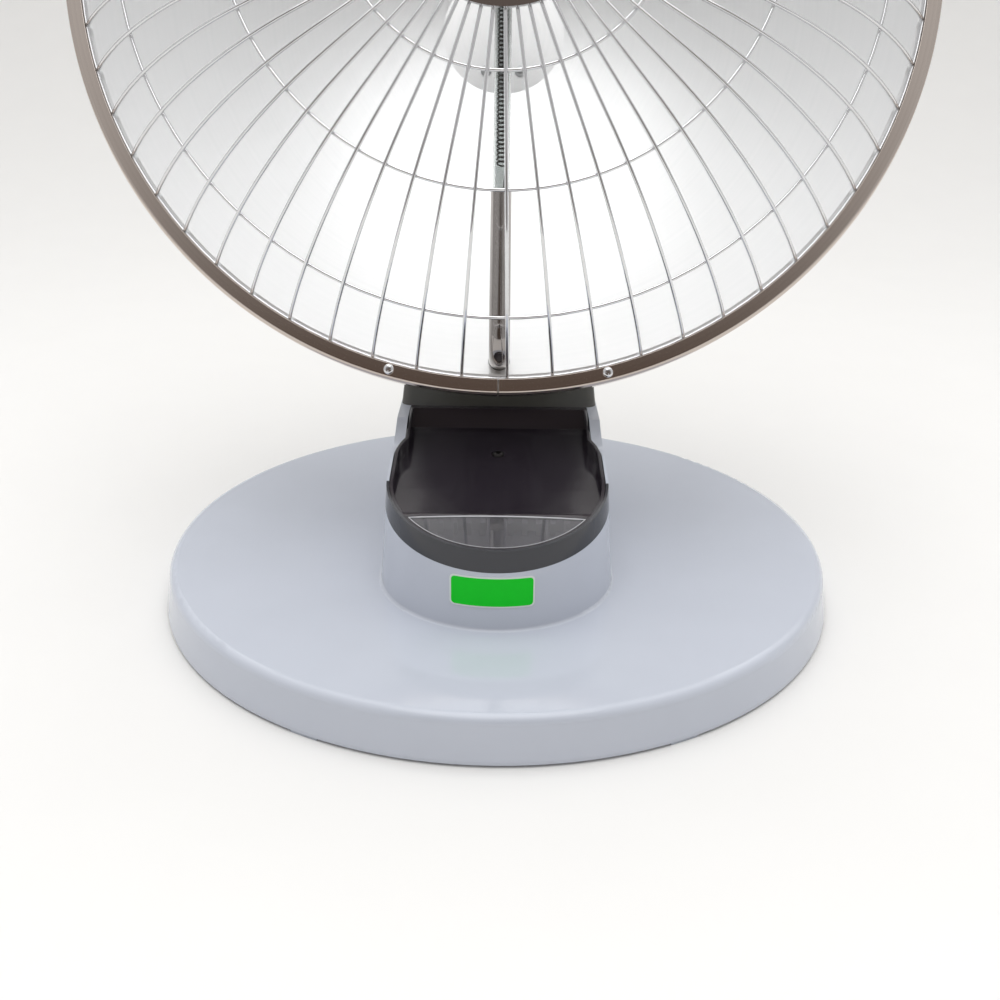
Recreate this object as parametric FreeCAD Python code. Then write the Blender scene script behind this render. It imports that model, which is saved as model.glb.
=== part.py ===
"""Parabolic dish heater on a round table base, in millimetres, +Z up.

The origin is on the floor under the middle of the whole heater. The dish looks towards -Y and up.
"""
import FreeCAD, Part
import math
import os

V = FreeCAD.Vector
X, Y, Z = V(1, 0, 0), V(0, 1, 0), V(0, 0, 1)
ORIGIN = V(0, 0, 0)

# Fits shared by all pieces
CLEAR = 0.2              # loose fit between moulded pieces
RUN = 0.05               # running fit of a shaft in its bore
FACE_GAP = 0.1           # gap between flat faces that turn past each other

# Base disc, drawn about its own middle
BASE_RADIUS = 160.0
FRAME_BACK = 23.67       # origin behind the disc's middle
BASE_HEIGHT = 19.5       # skirt edge to flat top
BASE_ROUND = 4.0         # rounding of the top edge
SKIRT_DRAFT = 2.4        # lean of the skirt over its height
BASE_WALL = 2.5
SKIRT_GAP = 1.2          # air under the skirt, the height of the feet
FOOT_WIDTH = 12.5
FOOT_DEPTH = 12.0
FOOT_TURN = 27.6         # degrees from the front and back lines
FOOT_INSET = 0.4
PLATE_THICK = 1.5
BALLAST_IN = 56.0        # weight's edge inside the disc's edge
BALLAST_INNER = 30.0
BALLAST_THICK = 6.0
BOSS_RADIUS = 5.0
BOSS_IN = 28.0           # screw bosses inside the disc's edge
SCREW_RADIUS = 1.5
HEAD_CROWN = 0.7         # top of a pan head against its rim
HEAD_HEIGHT = 1.8
PILOT_ROOF = 2.0         # solid left above a screw's pilot hole

# Tower moulded in one with the disc
TOWER_HALF_WIDTH = 53.0
TOWER_HALF_LENGTH = 95.0
TOWER_HEIGHT = 60.5
TOWER_WALL = 3.0
TOWER_FOOT_ROUND = 1.5
TOWER_TAPER = 4.4        # degrees
SEAT_RISE = 25.8         # front edge of the tower above the disc
SEAT_TILT = 13.2         # degrees, the edge climbs towards the back
CHEEK_START = -24.0      # Y where the side cheeks leave the sloping edge
CHEEK_END = 2.0          # Y where they reach the full height
CHEEK_DIP = 2.0
CHEEK_WALL = 5.0         # thick edge of the cheeks beside the cover

# Scooped front cover
BEZEL_HEIGHT = 9.6
BEZEL_END = -45.0        # Y where the tower's own edge takes over from the bezel
LIP_WALL = 1.2           # thin edge outside the cover
COVER_SHEET = 2.0
COVER_WALL = 1.6         # upturned sides of the cover
SHOULDER_BEND = 28.0
COVER_SINK = 0.6         # cover below the top of the bezel
WINDOW_LIP = 1.6
WINDOW_BACK = -67.8      # Y of the window's rear edge
FACE_START = -67.0       # Y where the scooped face begins
WINDOW_BOW = 3.0
FACE_END = 12.0          # Y where the scooped face meets the riser
FACE_RISE = 10.5         # climb of the scooped face
FACE_DIP = 2.5
RISER_LEAN = 4.0
LENS_THICK = 1.6
TRAY_DEPTH = 7.0
TRAY_WALL = 1.2
COVER_SCREW_Y = -10.0
COVER_SCREW_LENGTH = 9.0
COVER_SCREW_SINK = 0.8   # screw seat below the scooped face
SCREW_HEAD = 2.9
WEB_THICK = 3.0          # cross web that carries the cover's screw
WEB_BOSS = 4.5
RIB_PLACES = (-19.0, -3.6, 3.6, 21.0)
SLANT_PLACE = -41.0      # X of the slanted rib where it meets the window's back
SLANT_TURN = 18.0        # degrees
WELL_PITCH = 6.0
WELL_WIDTH = 2.4
WELL_REACH = 3.4
WELL_COUNT = 5           # light wells each side of the middle

# Neck and its steel post
NECK_FRONT = 20.0
NECK_HEIGHT = 50.0
NECK_STEP = 0.3          # neck inside the tower's edge
NECK_TOP_HALF = 44.0
NECK_TOP_FRONT = 70.0
NECK_TOP_BACK = 112.0
NECK_TOP_SIDE = 84.0     # Y where its sides turn into the round back
NECK_CORNER = 5.0
NECK_WALL = 2.5
POST_Y = 50.0
POST_RADIUS = 11.0
POST_WALL = 1.6
POST_BEND = 40.0
POST_FLANGE = 19.0
FLANGE_THICK = 3.0
PLUG_DEPTH = 25.0        # knuckle's plug inside the post

# Tilt hinge
HINGE_Y = 108.0
HINGE_RISE = 21.0        # hinge above the top of the neck
LUG_RADIUS = 14.0
LUG_HALF = 15.0
WASHER_THICK = 1.5
BOLT_RADIUS = 4.0
HEX_RADIUS = 7.5
HEX_THICK = 5.5
ARM_THICK = 2.5

# Control knob on the back of the tower
KNOB_RISE = 31.0
KNOB_RADIUS = 17.0
KNOB_LENGTH = 15.0
KNOB_BOSS = 20.0
KNOB_STAND = 2.0         # boss proud of the tower's back
KNOB_GAP = 0.6
KNOB_SKIRT = 7.0
KNOB_STEP = 3.0          # grip inside the skirt
KNOB_EDGE = 1.5
KNOB_ROOF = 3.0
NOTCH_COUNT = 15
NOTCH_RADIUS = 1.6
SHAFT_RADIUS = 3.0
SHAFT_HOLD = 6.0         # shaft inside the switch
SWITCH_HALF = 15.0
SWITCH_DEPTH = 13.0

# Tip-over switch and mains inlet in the base
PLUNGER_IN = 38.0        # plunger inside the disc's rear edge
PLUNGER_RADIUS = 6.0
PLUNGER_TRAVEL = 3.0
PLUNGER_LIFT = 0.15
PLUNGER_NOSE = 1.5
PLUNGER_STEM = 2.5
PLUNGER_COLLAR = 1.2
GUIDE_HEIGHT = 2.8
GUIDE_WALL = 2.0
TIP_SWITCH_LENGTH = 20.0
TIP_SWITCH_WIDTH = 6.4
TIP_SWITCH_HEIGHT = 6.0
TERMINAL_X = 41.0
TERMINAL_Y = 111.0
TERMINAL_PITCH = 10.0
TERMINAL_DEPTH = 14.0
TERMINAL_HEIGHT = 11.0
WELL_RADIUS = 2.2
WELL_DEPTH = 6.0
GLAND_RISE = 9.4
GLAND_RADIUS = 4.8
GLAND_BORE = 3.2
GLAND_FLANGE = 1.4
GLAND_LIP = 2.5
GLAND_STEP = 1.0         # boss outside the gland's flange

# Dish
DISH_TILT = 22.3         # degrees, the dish looks up
DISH_Y = 57.4            # middle of the rim
DISH_RISE = 282.8
RIM_RADIUS = 198.4
RIM_FACE = 7.1
RIM_DEPTH = 9.6
RIM_SHEET = 0.9
RIM_ROUND = 2.0
RIM_LIP = 4.0            # turned-in edge behind the rim
RIM_SEAM = 0.5
SEAM_TURN = 0.1          # degrees, seam left of the lowest point
BOWL_IN = 9.4            # bowl's edge inside the rim's outer edge
BOWL_DEPTH = 90.0
BOWL_FLAT = 32.0         # flat middle for the bracket
SHEET = 1.0
RIM_SCREW_TURN = 14.8    # degrees each side of the seam
RIM_SCREW_RADIUS = 1.2
RIM_SCREW_HEAD = 2.45
RIM_SCREW_RISE = 1.5
RIM_SCREW_IN = 4.4       # screws inside the rim's outer edge

# Wire guard
WIRE_COUNT = 58
WIRE_RADIUS = 0.8
GUARD_TURN = 1.1         # degrees, lowest wire right of the lowest point
HOOP_RADIUS = 1.0
WELD_IN = 0.62           # wire's end inside the hoop's circle
WELD_RISE = 0.95         # wire's end above the hoop's middle
GUARD_HEIGHT = 52.0
GUARD_BEND = 113.0
HUB_RADIUS = 40.0
CAP_RADIUS = 46.0
CAP_CROWN = 4.0
CAP_EDGE = 1.6
CAP_SHEET = 1.0
RING_CIRCLES = (168.0, 118.3, 70.0)

# Heating tube
TUBE_FORWARD = 8.5       # axis in front of the rim plane, at the focus
HOLDER_RADIUS = 4.75
HOLDER_WALL = 0.7
HOLDER_BEND = 12.0
HOLDER_IN = 7.0          # holders' tails inside the bowl's edge
HOLDER_REACH = 74.0      # tail to the mouth that takes the tube
HOLDER_TAIL = 17.0
TUBE_WALL = 1.0
TUBE_GRIP = 12.0         # length of tube inside each holder
PLUG_LENGTH = 14.0
FILAMENT_RADIUS = 0.9
COLLAR_RADIUS = 6.6
COLLAR_LENGTH = 6.0

# Rear housing and bracket
HOUSING_RADIUS = 72.0
HOUSING_DEPTH = 52.0
HOUSING_TAPER = 8.0
HOUSING_ROUND = 14.0
HOUSING_WALL = 2.5
VENT_COUNT = 12
VENT_WIDTH = 4.0
VENT_INNER = 30.0
VENT_OUTER = 52.0
BRACKET_HALF = 30.0
BRACKET_DEPTH = 24.0
BRACKET_SLANT = 8.0
BRACKET_HOLE = 9.0       # X of the screws through the web
ARM_WAIST = 3.0
STUD_RADIUS = 4.0
STUD_OFFSET = 20.0
HOUSING_SCREW_LENGTH = 14.0
BLOCK_LENGTH = 26.0      # connector block on the bracket's web
BLOCK_WIDTH = 16.0
BLOCK_HEIGHT = 13.0
CUTOUT_RADIUS = 8.0
CUTOUT_THICK = 6.0
CUTOUT_CAP = 5.0
CUTOUT_RISE = 3.0
CUTOUT_OFFSET = 6.0

# Derived sizes
disc_top = SKIRT_GAP + BASE_HEIGHT
plate_top = SKIRT_GAP + PLATE_THICK
ballast_top = plate_top + BALLAST_THICK
disc_under = disc_top - BASE_WALL
tower_top = disc_top + TOWER_HEIGHT
neck_top = tower_top + NECK_HEIGHT
hinge = V(0, HINGE_Y, neck_top + HINGE_RISE)
taper = math.tan(math.radians(TOWER_TAPER))
seat_slope = math.tan(math.radians(SEAT_TILT))
neck_half_width = TOWER_HALF_WIDTH - TOWER_HEIGHT * taper - NECK_STEP
neck_side = TOWER_HALF_LENGTH - TOWER_HALF_WIDTH
window_inset = LIP_WALL + CLEAR + WINDOW_LIP
gland_flange = GLAND_RADIUS + GLAND_FLANGE
boss_circle = BASE_RADIUS - BOSS_IN
plunger_y = BASE_RADIUS - PLUNGER_IN
bowl_radius = RIM_RADIUS - BOWL_IN
holder_circle = bowl_radius - HOLDER_IN
holder_mouth = holder_circle - HOLDER_REACH
FAR = 2 * RIM_RADIUS


# Shape helpers
def box(x0, x1, y0, y1, z0, z1):
    return Part.makeBox(x1 - x0, y1 - y0, z1 - z0, V(x0, y0, z0))


def rod(radius, start, end):
    axis = end.sub(start)
    return Part.makeCylinder(radius, axis.Length, start, axis)


def tube(outer, inner, start, end):
    return rod(outer, start, end).cut(rod(inner, start, end))


def outline(steps, place):
    """Closed wire through the steps; a step ("via", a, b) makes the next stretch an arc."""
    edges, here, via = [], None, None
    for step in list(steps) + [steps[0]]:
        if step[0] == "via":
            via = place(*step[1:])
            continue
        there = place(*step)
        if via is not None:
            edges.append(Part.Arc(here, via, there).toShape())
        elif here is not None:
            edges.append(Part.LineSegment(here, there).toShape())
        here, via = there, None
    return Part.Wire(edges)


def turned(steps, angle=360.0):
    face = Part.Face(outline(steps, lambda r, z: V(r, 0, z)))
    return face.revolve(ORIGIN, Z, angle)


def side_prism(steps, half_width=FAR):
    face = Part.Face(outline(steps, lambda y, z: V(-half_width, y, z)))
    return face.extrude(V(2 * half_width, 0, 0))


def around(shape, angles):
    """Copies of a shape turned about the Z axis."""
    copies = []
    for angle in angles:
        copy = shape.copy()
        copy.rotate(ORIGIN, Z, angle)
        copies.append(copy)
    return Part.makeCompound(copies)


def screw(radius, head_radius, head_height, length, base, axis):
    """Pan head standing on base, shank going back along the axis."""
    axis = V(axis).normalize()
    rim = head_height / 2
    head = Part.makeCylinder(head_radius, rim, base, axis)
    crown = Part.makeCone(head_radius, head_radius * HEAD_CROWN, rim, base.add(axis * rim), axis)
    shank = Part.makeCylinder(radius, length, base, axis.negative())
    return head.fuse([crown, shank]).removeSplitter()


# Base disc and tower
def stadium(z, inset):
    """Plan of the tower at height z: straight sides and round ends, drawn in by inset."""
    width = TOWER_HALF_WIDTH - inset - (z - disc_top) * taper
    middle = TOWER_HALF_LENGTH - TOWER_HALF_WIDTH
    steps = [(width, -middle), (width, middle), ("via", 0, middle + width),
             (-width, middle), (-width, -middle), ("via", 0, -middle - width)]
    return outline(steps, lambda x, y: V(x, y, z))


def tower_block(inset, low, high):
    return Part.makeLoft([stadium(low, inset), stadium(high, inset)], True, True)


def seat_z(y):
    """Height of the tower's sloping front edge."""
    return disc_top + SEAT_RISE + seat_slope * (y + TOWER_HALF_LENGTH)


def edge_z(y):
    """Height of the bezel's top and of the tower's own edge behind it."""
    return seat_z(y) + BEZEL_HEIGHT


def above_tower():
    """Everything above the tower's edge: seat of the bezel, side edges, rising cheeks, flat top."""
    dip_y = (CHEEK_START + CHEEK_END) / 2 + CHEEK_DIP
    dip_z = (edge_z(CHEEK_START) + tower_top) / 2 - CHEEK_DIP
    return side_prism([(-FAR, seat_z(-FAR)), (BEZEL_END, seat_z(BEZEL_END)), (BEZEL_END, edge_z(BEZEL_END)),
                       (CHEEK_START, edge_z(CHEEK_START)), ("via", dip_y, dip_z),
                       (CHEEK_END, tower_top), (FAR, tower_top), (FAR, FAR), (-FAR, FAR)])


def disc_profile(radius, low, high, rounding):
    """Turned disc whose skirt leans in, above the floor plate, towards its rounded top edge."""
    bend = rounding * (1 - math.sqrt(0.5))
    top = radius - SKIRT_DRAFT
    return turned([(0, low), (radius, low), (radius, plate_top), (top, high - rounding),
                   ("via", top - bend, high - bend), (top - rounding, high), (0, high)])


def cavity_top():
    return tower_top - TOWER_WALL


def knob_face():
    """Y of the flat boss behind the knob."""
    z = disc_top + KNOB_RISE
    return TOWER_HALF_LENGTH - (z - disc_top) * taper + KNOB_STAND


def switch_face():
    """Y of the inner end of the boss, where the switch sits."""
    return knob_face() - KNOB_STAND - TOWER_WALL - SWITCH_DEPTH / 2


def boss_angles():
    return [45, 135, 225, 315]


def base_cover():
    disc = disc_profile(BASE_RADIUS, SKIRT_GAP, disc_top, BASE_ROUND)
    body = disc.fuse(tower_block(0, disc_under, tower_top)).removeSplitter()
    foot = [e for e in body.Edges if abs(e.BoundBox.ZMin - disc_top) < 1e-4
            and abs(e.BoundBox.ZMax - disc_top) < 1e-4 and abs(e.BoundBox.YMax) < TOWER_HALF_LENGTH + 1]
    body = body.makeFillet(TOWER_FOOT_ROUND, foot)
    knob_z = disc_top + KNOB_RISE
    boss = rod(KNOB_BOSS, V(0, switch_face(), knob_z), V(0, knob_face(), knob_z))
    body = body.cut(above_tower())
    body = body.cut(disc_profile(BASE_RADIUS - BASE_WALL, -1, disc_under, BASE_ROUND - BASE_WALL))
    under_cover = tower_block(TOWER_WALL, 0, tower_top + 1).common(before_neck(0))
    under_cover = under_cover.cut(above_face(COVER_SHEET + FACE_GAP))
    under_neck = tower_block(TOWER_WALL, 0, cavity_top()).cut(before_neck(0))
    body = body.cut([under_cover, under_neck, cover_space()]).fuse([boss, gland_boss()])
    body = body.fuse(screw_web())
    foot, head = V(boss_circle, 0, plate_top), V(boss_circle, 0, disc_under)
    posts = around(rod(BOSS_RADIUS, foot, head.add(Z * (BASE_WALL / 2))), boss_angles())
    body = body.fuse(posts.Solids)
    drill, seat = SCREW_RADIUS + RUN, cover_screw_seat()
    pilots = around(rod(drill, foot, head.sub(Z * PILOT_ROOF)), boss_angles())
    holes = [
        rod(SHAFT_RADIUS + CLEAR, V(0, 0, knob_z), V(0, FAR, knob_z)),
        rod(drill, seat.sub(Z * (COVER_SCREW_LENGTH + PILOT_ROOF)), seat.add(Z * FAR)),
        rod(GLAND_RADIUS + CLEAR, V(0, BASE_RADIUS - 2 * BASE_WALL, GLAND_RISE), V(0, FAR, GLAND_RISE)),
        rod(gland_flange + CLEAR, V(0, boss_circle, GLAND_RISE), V(0, BASE_RADIUS - BASE_WALL, GLAND_RISE)),
        swept(POST_RADIUS + 5 * CLEAR, post_path(), post_foot(), Z),
    ]
    return body.cut(pilots.Solids + holes)


def screw_web():
    """Cross web under the cover with a boss for its screw."""
    low, high = V(0, COVER_SCREW_Y, disc_top + SEAT_RISE), V(0, COVER_SCREW_Y, tower_top)
    web = box(-FAR, FAR, COVER_SCREW_Y - WEB_THICK / 2, COVER_SCREW_Y + WEB_THICK / 2, low.z, high.z)
    web = web.fuse(rod(WEB_BOSS, low, high)).common(tower_block(TOWER_WALL * 0.8, 0, tower_top))
    return web.cut(above_face(COVER_SHEET + FACE_GAP))


def base_plate():
    plate = rod(BASE_RADIUS - BASE_WALL - CLEAR, Z * SKIRT_GAP, Z * plate_top)
    foot = V(0, plunger_y, plate_top)
    plate = plate.fuse(rod(PLUNGER_RADIUS + GUIDE_WALL, foot, foot.add(Z * GUIDE_HEIGHT)))
    sinks = around(Part.makeCone(2 * SCREW_RADIUS + RUN, SCREW_RADIUS + RUN, PLATE_THICK,
                                 V(boss_circle, 0, SKIRT_GAP)), boss_angles())
    return plate.cut(sinks.Solids + [rod(PLUNGER_RADIUS + 2 * RUN, V(0, plunger_y, 0), V(0, plunger_y, FAR))])


def base_screws():
    head = Part.makeCone(2 * SCREW_RADIUS, SCREW_RADIUS, PLATE_THICK, V(boss_circle, 0, SKIRT_GAP))
    shank = rod(SCREW_RADIUS, V(boss_circle, 0, plate_top), V(boss_circle, 0, disc_under - 1.5 * PILOT_ROOF))
    return around(head.fuse(shank), boss_angles())


def base_feet():
    """Six low pads under the skirt's edge."""
    outer = BASE_RADIUS - FOOT_INSET
    pad = box(outer - FOOT_DEPTH, outer + 1, -FOOT_WIDTH / 2, FOOT_WIDTH / 2, 0, SKIRT_GAP)
    pad = pad.common(rod(outer, V(0, 0, -1), V(0, 0, SKIRT_GAP + 1)))
    front = -90
    turns = [front - FOOT_TURN, front + FOOT_TURN, 0, 180, 90 - FOOT_TURN, 90 + FOOT_TURN]
    return around(pad, turns)


def ballast():
    return tube(BASE_RADIUS - BALLAST_IN, BALLAST_INNER, Z * plate_top, Z * ballast_top)


# Scooped front cover with its bezel and window
def lip_z(y):
    return seat_z(y) + BEZEL_HEIGHT - COVER_SINK


def face_z(y):
    """Height of the scooped face behind the window."""
    start = lip_z(FACE_START)
    share = (y - FACE_START) / (FACE_END - FACE_START)
    return start + FACE_RISE * share - FACE_DIP * 4 * share * (1 - share)


def above_face(drop):
    """Everything above the cover's top surface, lowered by drop."""
    middle = (FACE_START + FACE_END) / 2
    return side_prism([(-FAR, lip_z(-FAR) - drop), (FACE_START, lip_z(FACE_START) - drop),
                       ("via", middle, face_z(middle) - drop), (FACE_END, face_z(FACE_END) - drop),
                       (FACE_END + RISER_LEAN, tower_top - drop), (FAR, tower_top - drop),
                       (FAR, FAR), (-FAR, FAR)])


def before_neck(gap):
    """Everything in front of the line where the tower's roof begins."""
    return box(-FAR, FAR, -FAR, NECK_FRONT + COVER_SHEET - gap, 0, FAR)


def front_bezel():
    wall = tower_block(0, disc_top, neck_top).cut(tower_block(TOWER_WALL, disc_top - 1, neck_top + 1))
    end = BEZEL_END - FACE_GAP
    band = side_prism([(-FAR, seat_z(-FAR)), (-FAR, edge_z(-FAR)), (end, edge_z(end)), (end, seat_z(end))])
    return wall.common(band).cut(cover_space())


def cover_plan(z, inset):
    """Plan of the cover at height z: round front, and shoulders drawn in to a waist between the cheeks."""
    edge = TOWER_HALF_WIDTH - LIP_WALL - CLEAR - (z - disc_top) * taper
    front = TOWER_HALF_WIDTH - TOWER_HALF_LENGTH
    width, bend = edge - inset, SHOULDER_BEND - inset
    waist = width - CHEEK_WALL + LIP_WALL
    turn = math.acos((waist - edge + SHOULDER_BEND) / bend)
    back = CHEEK_START + bend * math.sin(turn)
    half_x = edge - SHOULDER_BEND + bend * math.cos(turn / 2)
    half_y = CHEEK_START + bend * math.sin(turn / 2)
    steps = [(waist, FAR), (waist, back), ("via", half_x, half_y), (width, CHEEK_START), (width, front),
             ("via", 0, front - width), (-width, front), (-width, CHEEK_START), ("via", -half_x, half_y),
             (-waist, back), (-waist, FAR)]
    return outline(steps, lambda x, y: V(x, y, z))


def cover_block(inset):
    return Part.makeLoft([cover_plan(disc_top, inset), cover_plan(neck_top, inset)], True, True)


def cover_space():
    """Room for the cover in the bezel and between the cheeks."""
    return cover_block(-CLEAR).common(above_face(COVER_SHEET + FACE_GAP)).common(before_neck(0))


def window_block(inset, grow):
    """Upright crescent: the tower's round front drawn in by inset, with its bowed back moved by grow."""
    return tower_block(inset, disc_top, neck_top).common(side_plan(WINDOW_BACK + grow, WINDOW_BOW))


def side_plan(y, bow):
    """Everything in front of a gently bowed line across the tower."""
    half = TOWER_HALF_WIDTH
    steps = [(-half, y - bow), ("via", 0, y), (half, y - bow), (half, -FAR), (-half, -FAR)]
    face = Part.Face(outline(steps, lambda x, yy: V(x, yy, 0)))
    return face.extrude(V(0, 0, FAR))


def scoop_cover():
    under_edge = side_prism([(-FAR, lip_z(-FAR)), (FAR, lip_z(FAR)), (FAR, -FAR), (-FAR, -FAR)])
    sides = cover_block(0).cut(cover_block(COVER_WALL)).common(under_edge)
    sides = sides.common(above_face(COVER_SHEET)).cut(box(-FAR, FAR, -FAR, FAR, tower_top, FAR))
    sheet = cover_block(0).common(above_face(COVER_SHEET)).cut(above_face(0))
    sheet = sheet.fuse(sides).common(before_neck(CLEAR)).cut(window_block(window_inset, 0)).removeSplitter()
    seat = cover_screw_seat()
    dimple = rod(SCREW_HEAD + CLEAR, seat, seat.add(Z * FAR))
    return sheet.cut(dimple).cut(rod(SCREW_RADIUS + RUN, seat.sub(Z * FAR), seat.add(Z)))


def cover_screw_seat():
    return V(0, COVER_SCREW_Y, face_z(COVER_SCREW_Y) - COVER_SCREW_SINK)


def cover_screw():
    return screw(SCREW_RADIUS, SCREW_HEAD, HEAD_HEIGHT, COVER_SCREW_LENGTH, cover_screw_seat(), Z)


def window_lens():
    drop = COVER_SHEET - LENS_THICK
    return window_block(window_inset + CLEAR, -CLEAR).common(above_face(COVER_SHEET)).cut(above_face(drop))


def light_tray():
    """Ribbed tray under the window, with a row of small light wells along its back."""
    floor, outer, half = COVER_SHEET + TRAY_DEPTH, TOWER_WALL + CLEAR, TRAY_WALL / 2
    tray = window_block(outer, TRAY_WALL).common(above_face(floor)).cut(above_face(COVER_SHEET))
    tray = tray.cut(window_block(outer + TRAY_WALL, 0).common(above_face(floor - TRAY_WALL)))
    ribs = [box(x - half, x + half, -FAR, FAR, 0, FAR) for x in RIB_PLACES]
    slant = box(-half, half, -FAR, FAR, 0, FAR)
    slant.rotate(ORIGIN, Z, SLANT_TURN)
    ribs.append(slant.translated(V(SLANT_PLACE + WINDOW_BACK * math.tan(math.radians(SLANT_TURN)), 0, 0)))
    for i in range(1, WELL_COUNT + 1):
        for x in (-i * WELL_PITCH, i * WELL_PITCH):
            ribs.append(box(x - WELL_WIDTH / 2, x + WELL_WIDTH / 2, WINDOW_BACK - WELL_REACH, FAR, 0, FAR))
    space = window_block(outer + half, half).common(above_face(floor - half))
    space = space.cut(above_face(COVER_SHEET + FACE_GAP))
    return tray.fuse([space.common(rib) for rib in ribs]).removeSplitter()


# Neck, post and hinge
def neck_plan(half, front, side, back, z):
    """Plan of the neck at height z: flat front with round corners, straight sides, round back."""
    bend = NECK_CORNER * (1 - math.sqrt(0.5))
    steps = [(half, front + NECK_CORNER), (half, side), ("via", 0, back), (-half, side),
             (-half, front + NECK_CORNER), ("via", bend - half, front + bend),
             (NECK_CORNER - half, front), (half - NECK_CORNER, front), ("via", half - bend, front + bend)]
    return outline(steps, lambda x, y: V(x, y, z))


def neck_block(inset, drop):
    half = neck_half_width - inset
    foot = neck_plan(half, NECK_FRONT + inset, neck_side, neck_side + half, tower_top)
    head = neck_plan(NECK_TOP_HALF - inset, NECK_TOP_FRONT + inset, NECK_TOP_SIDE, NECK_TOP_BACK - inset,
                     neck_top - drop)
    return Part.makeLoft([foot, head], True, True)


def post_lean():
    """Unit vector from the bend of the post to the hinge."""
    return hinge.sub(V(0, POST_Y, tower_top)).normalize()


def neck_shell():
    shell = neck_block(0, 0).cut(neck_block(NECK_WALL, NECK_WALL))
    hole = rod(POST_RADIUS + 2 * CLEAR, hinge.sub(post_lean() * NECK_HEIGHT), hinge)
    return shell.cut(hole)


def neck_half(front):
    """Front or rear half of the neck casing, parted along its lean."""
    low = (NECK_FRONT + NECK_CORNER + neck_side) / 2
    high = (NECK_TOP_FRONT + NECK_CORNER + NECK_TOP_SIDE) / 2
    side = -FAR if front else FAR
    keep = side_prism([(low, tower_top), (high, neck_top), (high, FAR), (side, FAR), (side, -1), (low, -1)])
    return neck_shell().common(keep)


def post_foot():
    return V(0, POST_Y, ballast_top + FLANGE_THICK)


def post_end():
    """Where the post stops below the hinge knuckle's eye."""
    return hinge.sub(post_lean() * (LUG_RADIUS + 1))


def post_path():
    """Upright run, one bend, and a straight run that ends short of the hinge."""
    corner = V(0, POST_Y, tower_top)
    lean = post_lean()
    cut_back = POST_BEND * math.tan(math.acos(lean.z) / 2)
    low, high = corner.sub(Z * cut_back), corner.add(lean * cut_back)
    centre = low.add(Y * POST_BEND)
    middle = centre.add(corner.sub(centre).normalize() * POST_BEND)
    return Part.Wire([Part.LineSegment(post_foot(), low).toShape(), Part.Arc(low, middle, high).toShape(),
                      Part.LineSegment(high, post_end()).toShape()])


def swept(radius, path, start, direction):
    ring = Part.Wire([Part.makeCircle(radius, start, direction)])
    return path.makePipeShell([ring], True, False)


def neck_post():
    path, start = post_path(), post_foot()
    pipe = swept(POST_RADIUS, path, start, Z).cut(swept(POST_RADIUS - POST_WALL, path, start, Z))
    flange = tube(POST_FLANGE, POST_RADIUS - POST_WALL, start.sub(Z * FLANGE_THICK), start)
    return pipe.fuse(flange).removeSplitter()


def hinge_knuckle():
    seat = post_end()
    eye = rod(LUG_RADIUS, hinge.sub(X * LUG_HALF), hinge.add(X * LUG_HALF))
    plug = rod(POST_RADIUS - POST_WALL - FACE_GAP, seat.sub(post_lean() * PLUG_DEPTH), seat)
    body = eye.fuse([rod(POST_RADIUS, seat, hinge), plug]).removeSplitter()
    return body.cut(rod(BOLT_RADIUS + RUN, hinge.sub(X * FAR), hinge.add(X * FAR)))


def arm_outside():
    """X of the bracket arms' outer faces."""
    return LUG_HALF + WASHER_THICK + 2 * FACE_GAP + ARM_THICK


def hinge_washers():
    start = LUG_HALF + FACE_GAP
    disc = tube(LUG_RADIUS - 2, BOLT_RADIUS + RUN, V(start, 0, 0), V(start + WASHER_THICK, 0, 0))
    pair = Part.makeCompound([disc, disc.mirror(ORIGIN, X)])
    return pair.translated(hinge)


def hexagon(radius, start, thick):
    turns = [math.radians(60 * i) for i in range(6)]
    corners = [V(start, radius * math.cos(a), radius * math.sin(a)) for a in turns]
    return Part.Face(Part.makePolygon(corners + corners[:1])).extrude(V(thick, 0, 0))


def hinge_bolt():
    seat = arm_outside() + FACE_GAP
    head = hexagon(HEX_RADIUS, -seat - HEX_THICK, HEX_THICK)
    shank = rod(BOLT_RADIUS, V(-seat, 0, 0), V(seat + HEX_THICK + 2, 0, 0))
    return head.fuse(shank).translated(hinge)


def hinge_nut():
    seat = arm_outside() + FACE_GAP
    nut = hexagon(HEX_RADIUS, seat, HEX_THICK).cut(rod(BOLT_RADIUS + RUN, ORIGIN, X * FAR))
    return nut.translated(hinge)


# Control knob, switches and inlet
def control_knob():
    """Skirted knob with a notched grip, drawn along Z."""
    grip, back = KNOB_RADIUS - KNOB_STEP, KNOB_LENGTH
    end = grip - KNOB_EDGE
    body = turned([(0, 0), (KNOB_RADIUS, 0), (KNOB_RADIUS, KNOB_SKIRT / 2), (grip, KNOB_SKIRT),
                   (end, back - KNOB_EDGE), (end - KNOB_EDGE, back), (0, back)])
    out = NOTCH_RADIUS / 2
    notch = rod(NOTCH_RADIUS, V(grip + out, 0, KNOB_SKIRT), V(end + out, 0, back + KNOB_EDGE))
    body = body.cut(around(notch, [360.0 * i / NOTCH_COUNT for i in range(NOTCH_COUNT)]).Solids)
    return on_knob_axis(body.cut(rod(SHAFT_RADIUS, V(0, 0, -1), V(0, 0, back - KNOB_ROOF))))


def on_knob_axis(shape):
    """Stand a shape made along Z behind the knob boss, pointing backwards."""
    shape = shape.copy()
    shape.rotate(ORIGIN, X, -90)
    return shape.translated(V(0, knob_face() + KNOB_GAP, disc_top + KNOB_RISE))


def switch_gap():
    """Distance from the knob's face to the switch inside the tower."""
    return knob_face() + KNOB_GAP - switch_face()


def switch_shaft():
    start, end = -switch_gap() - SHAFT_HOLD, KNOB_LENGTH - KNOB_ROOF
    return on_knob_axis(rod(SHAFT_RADIUS, Z * start, Z * end))


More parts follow.
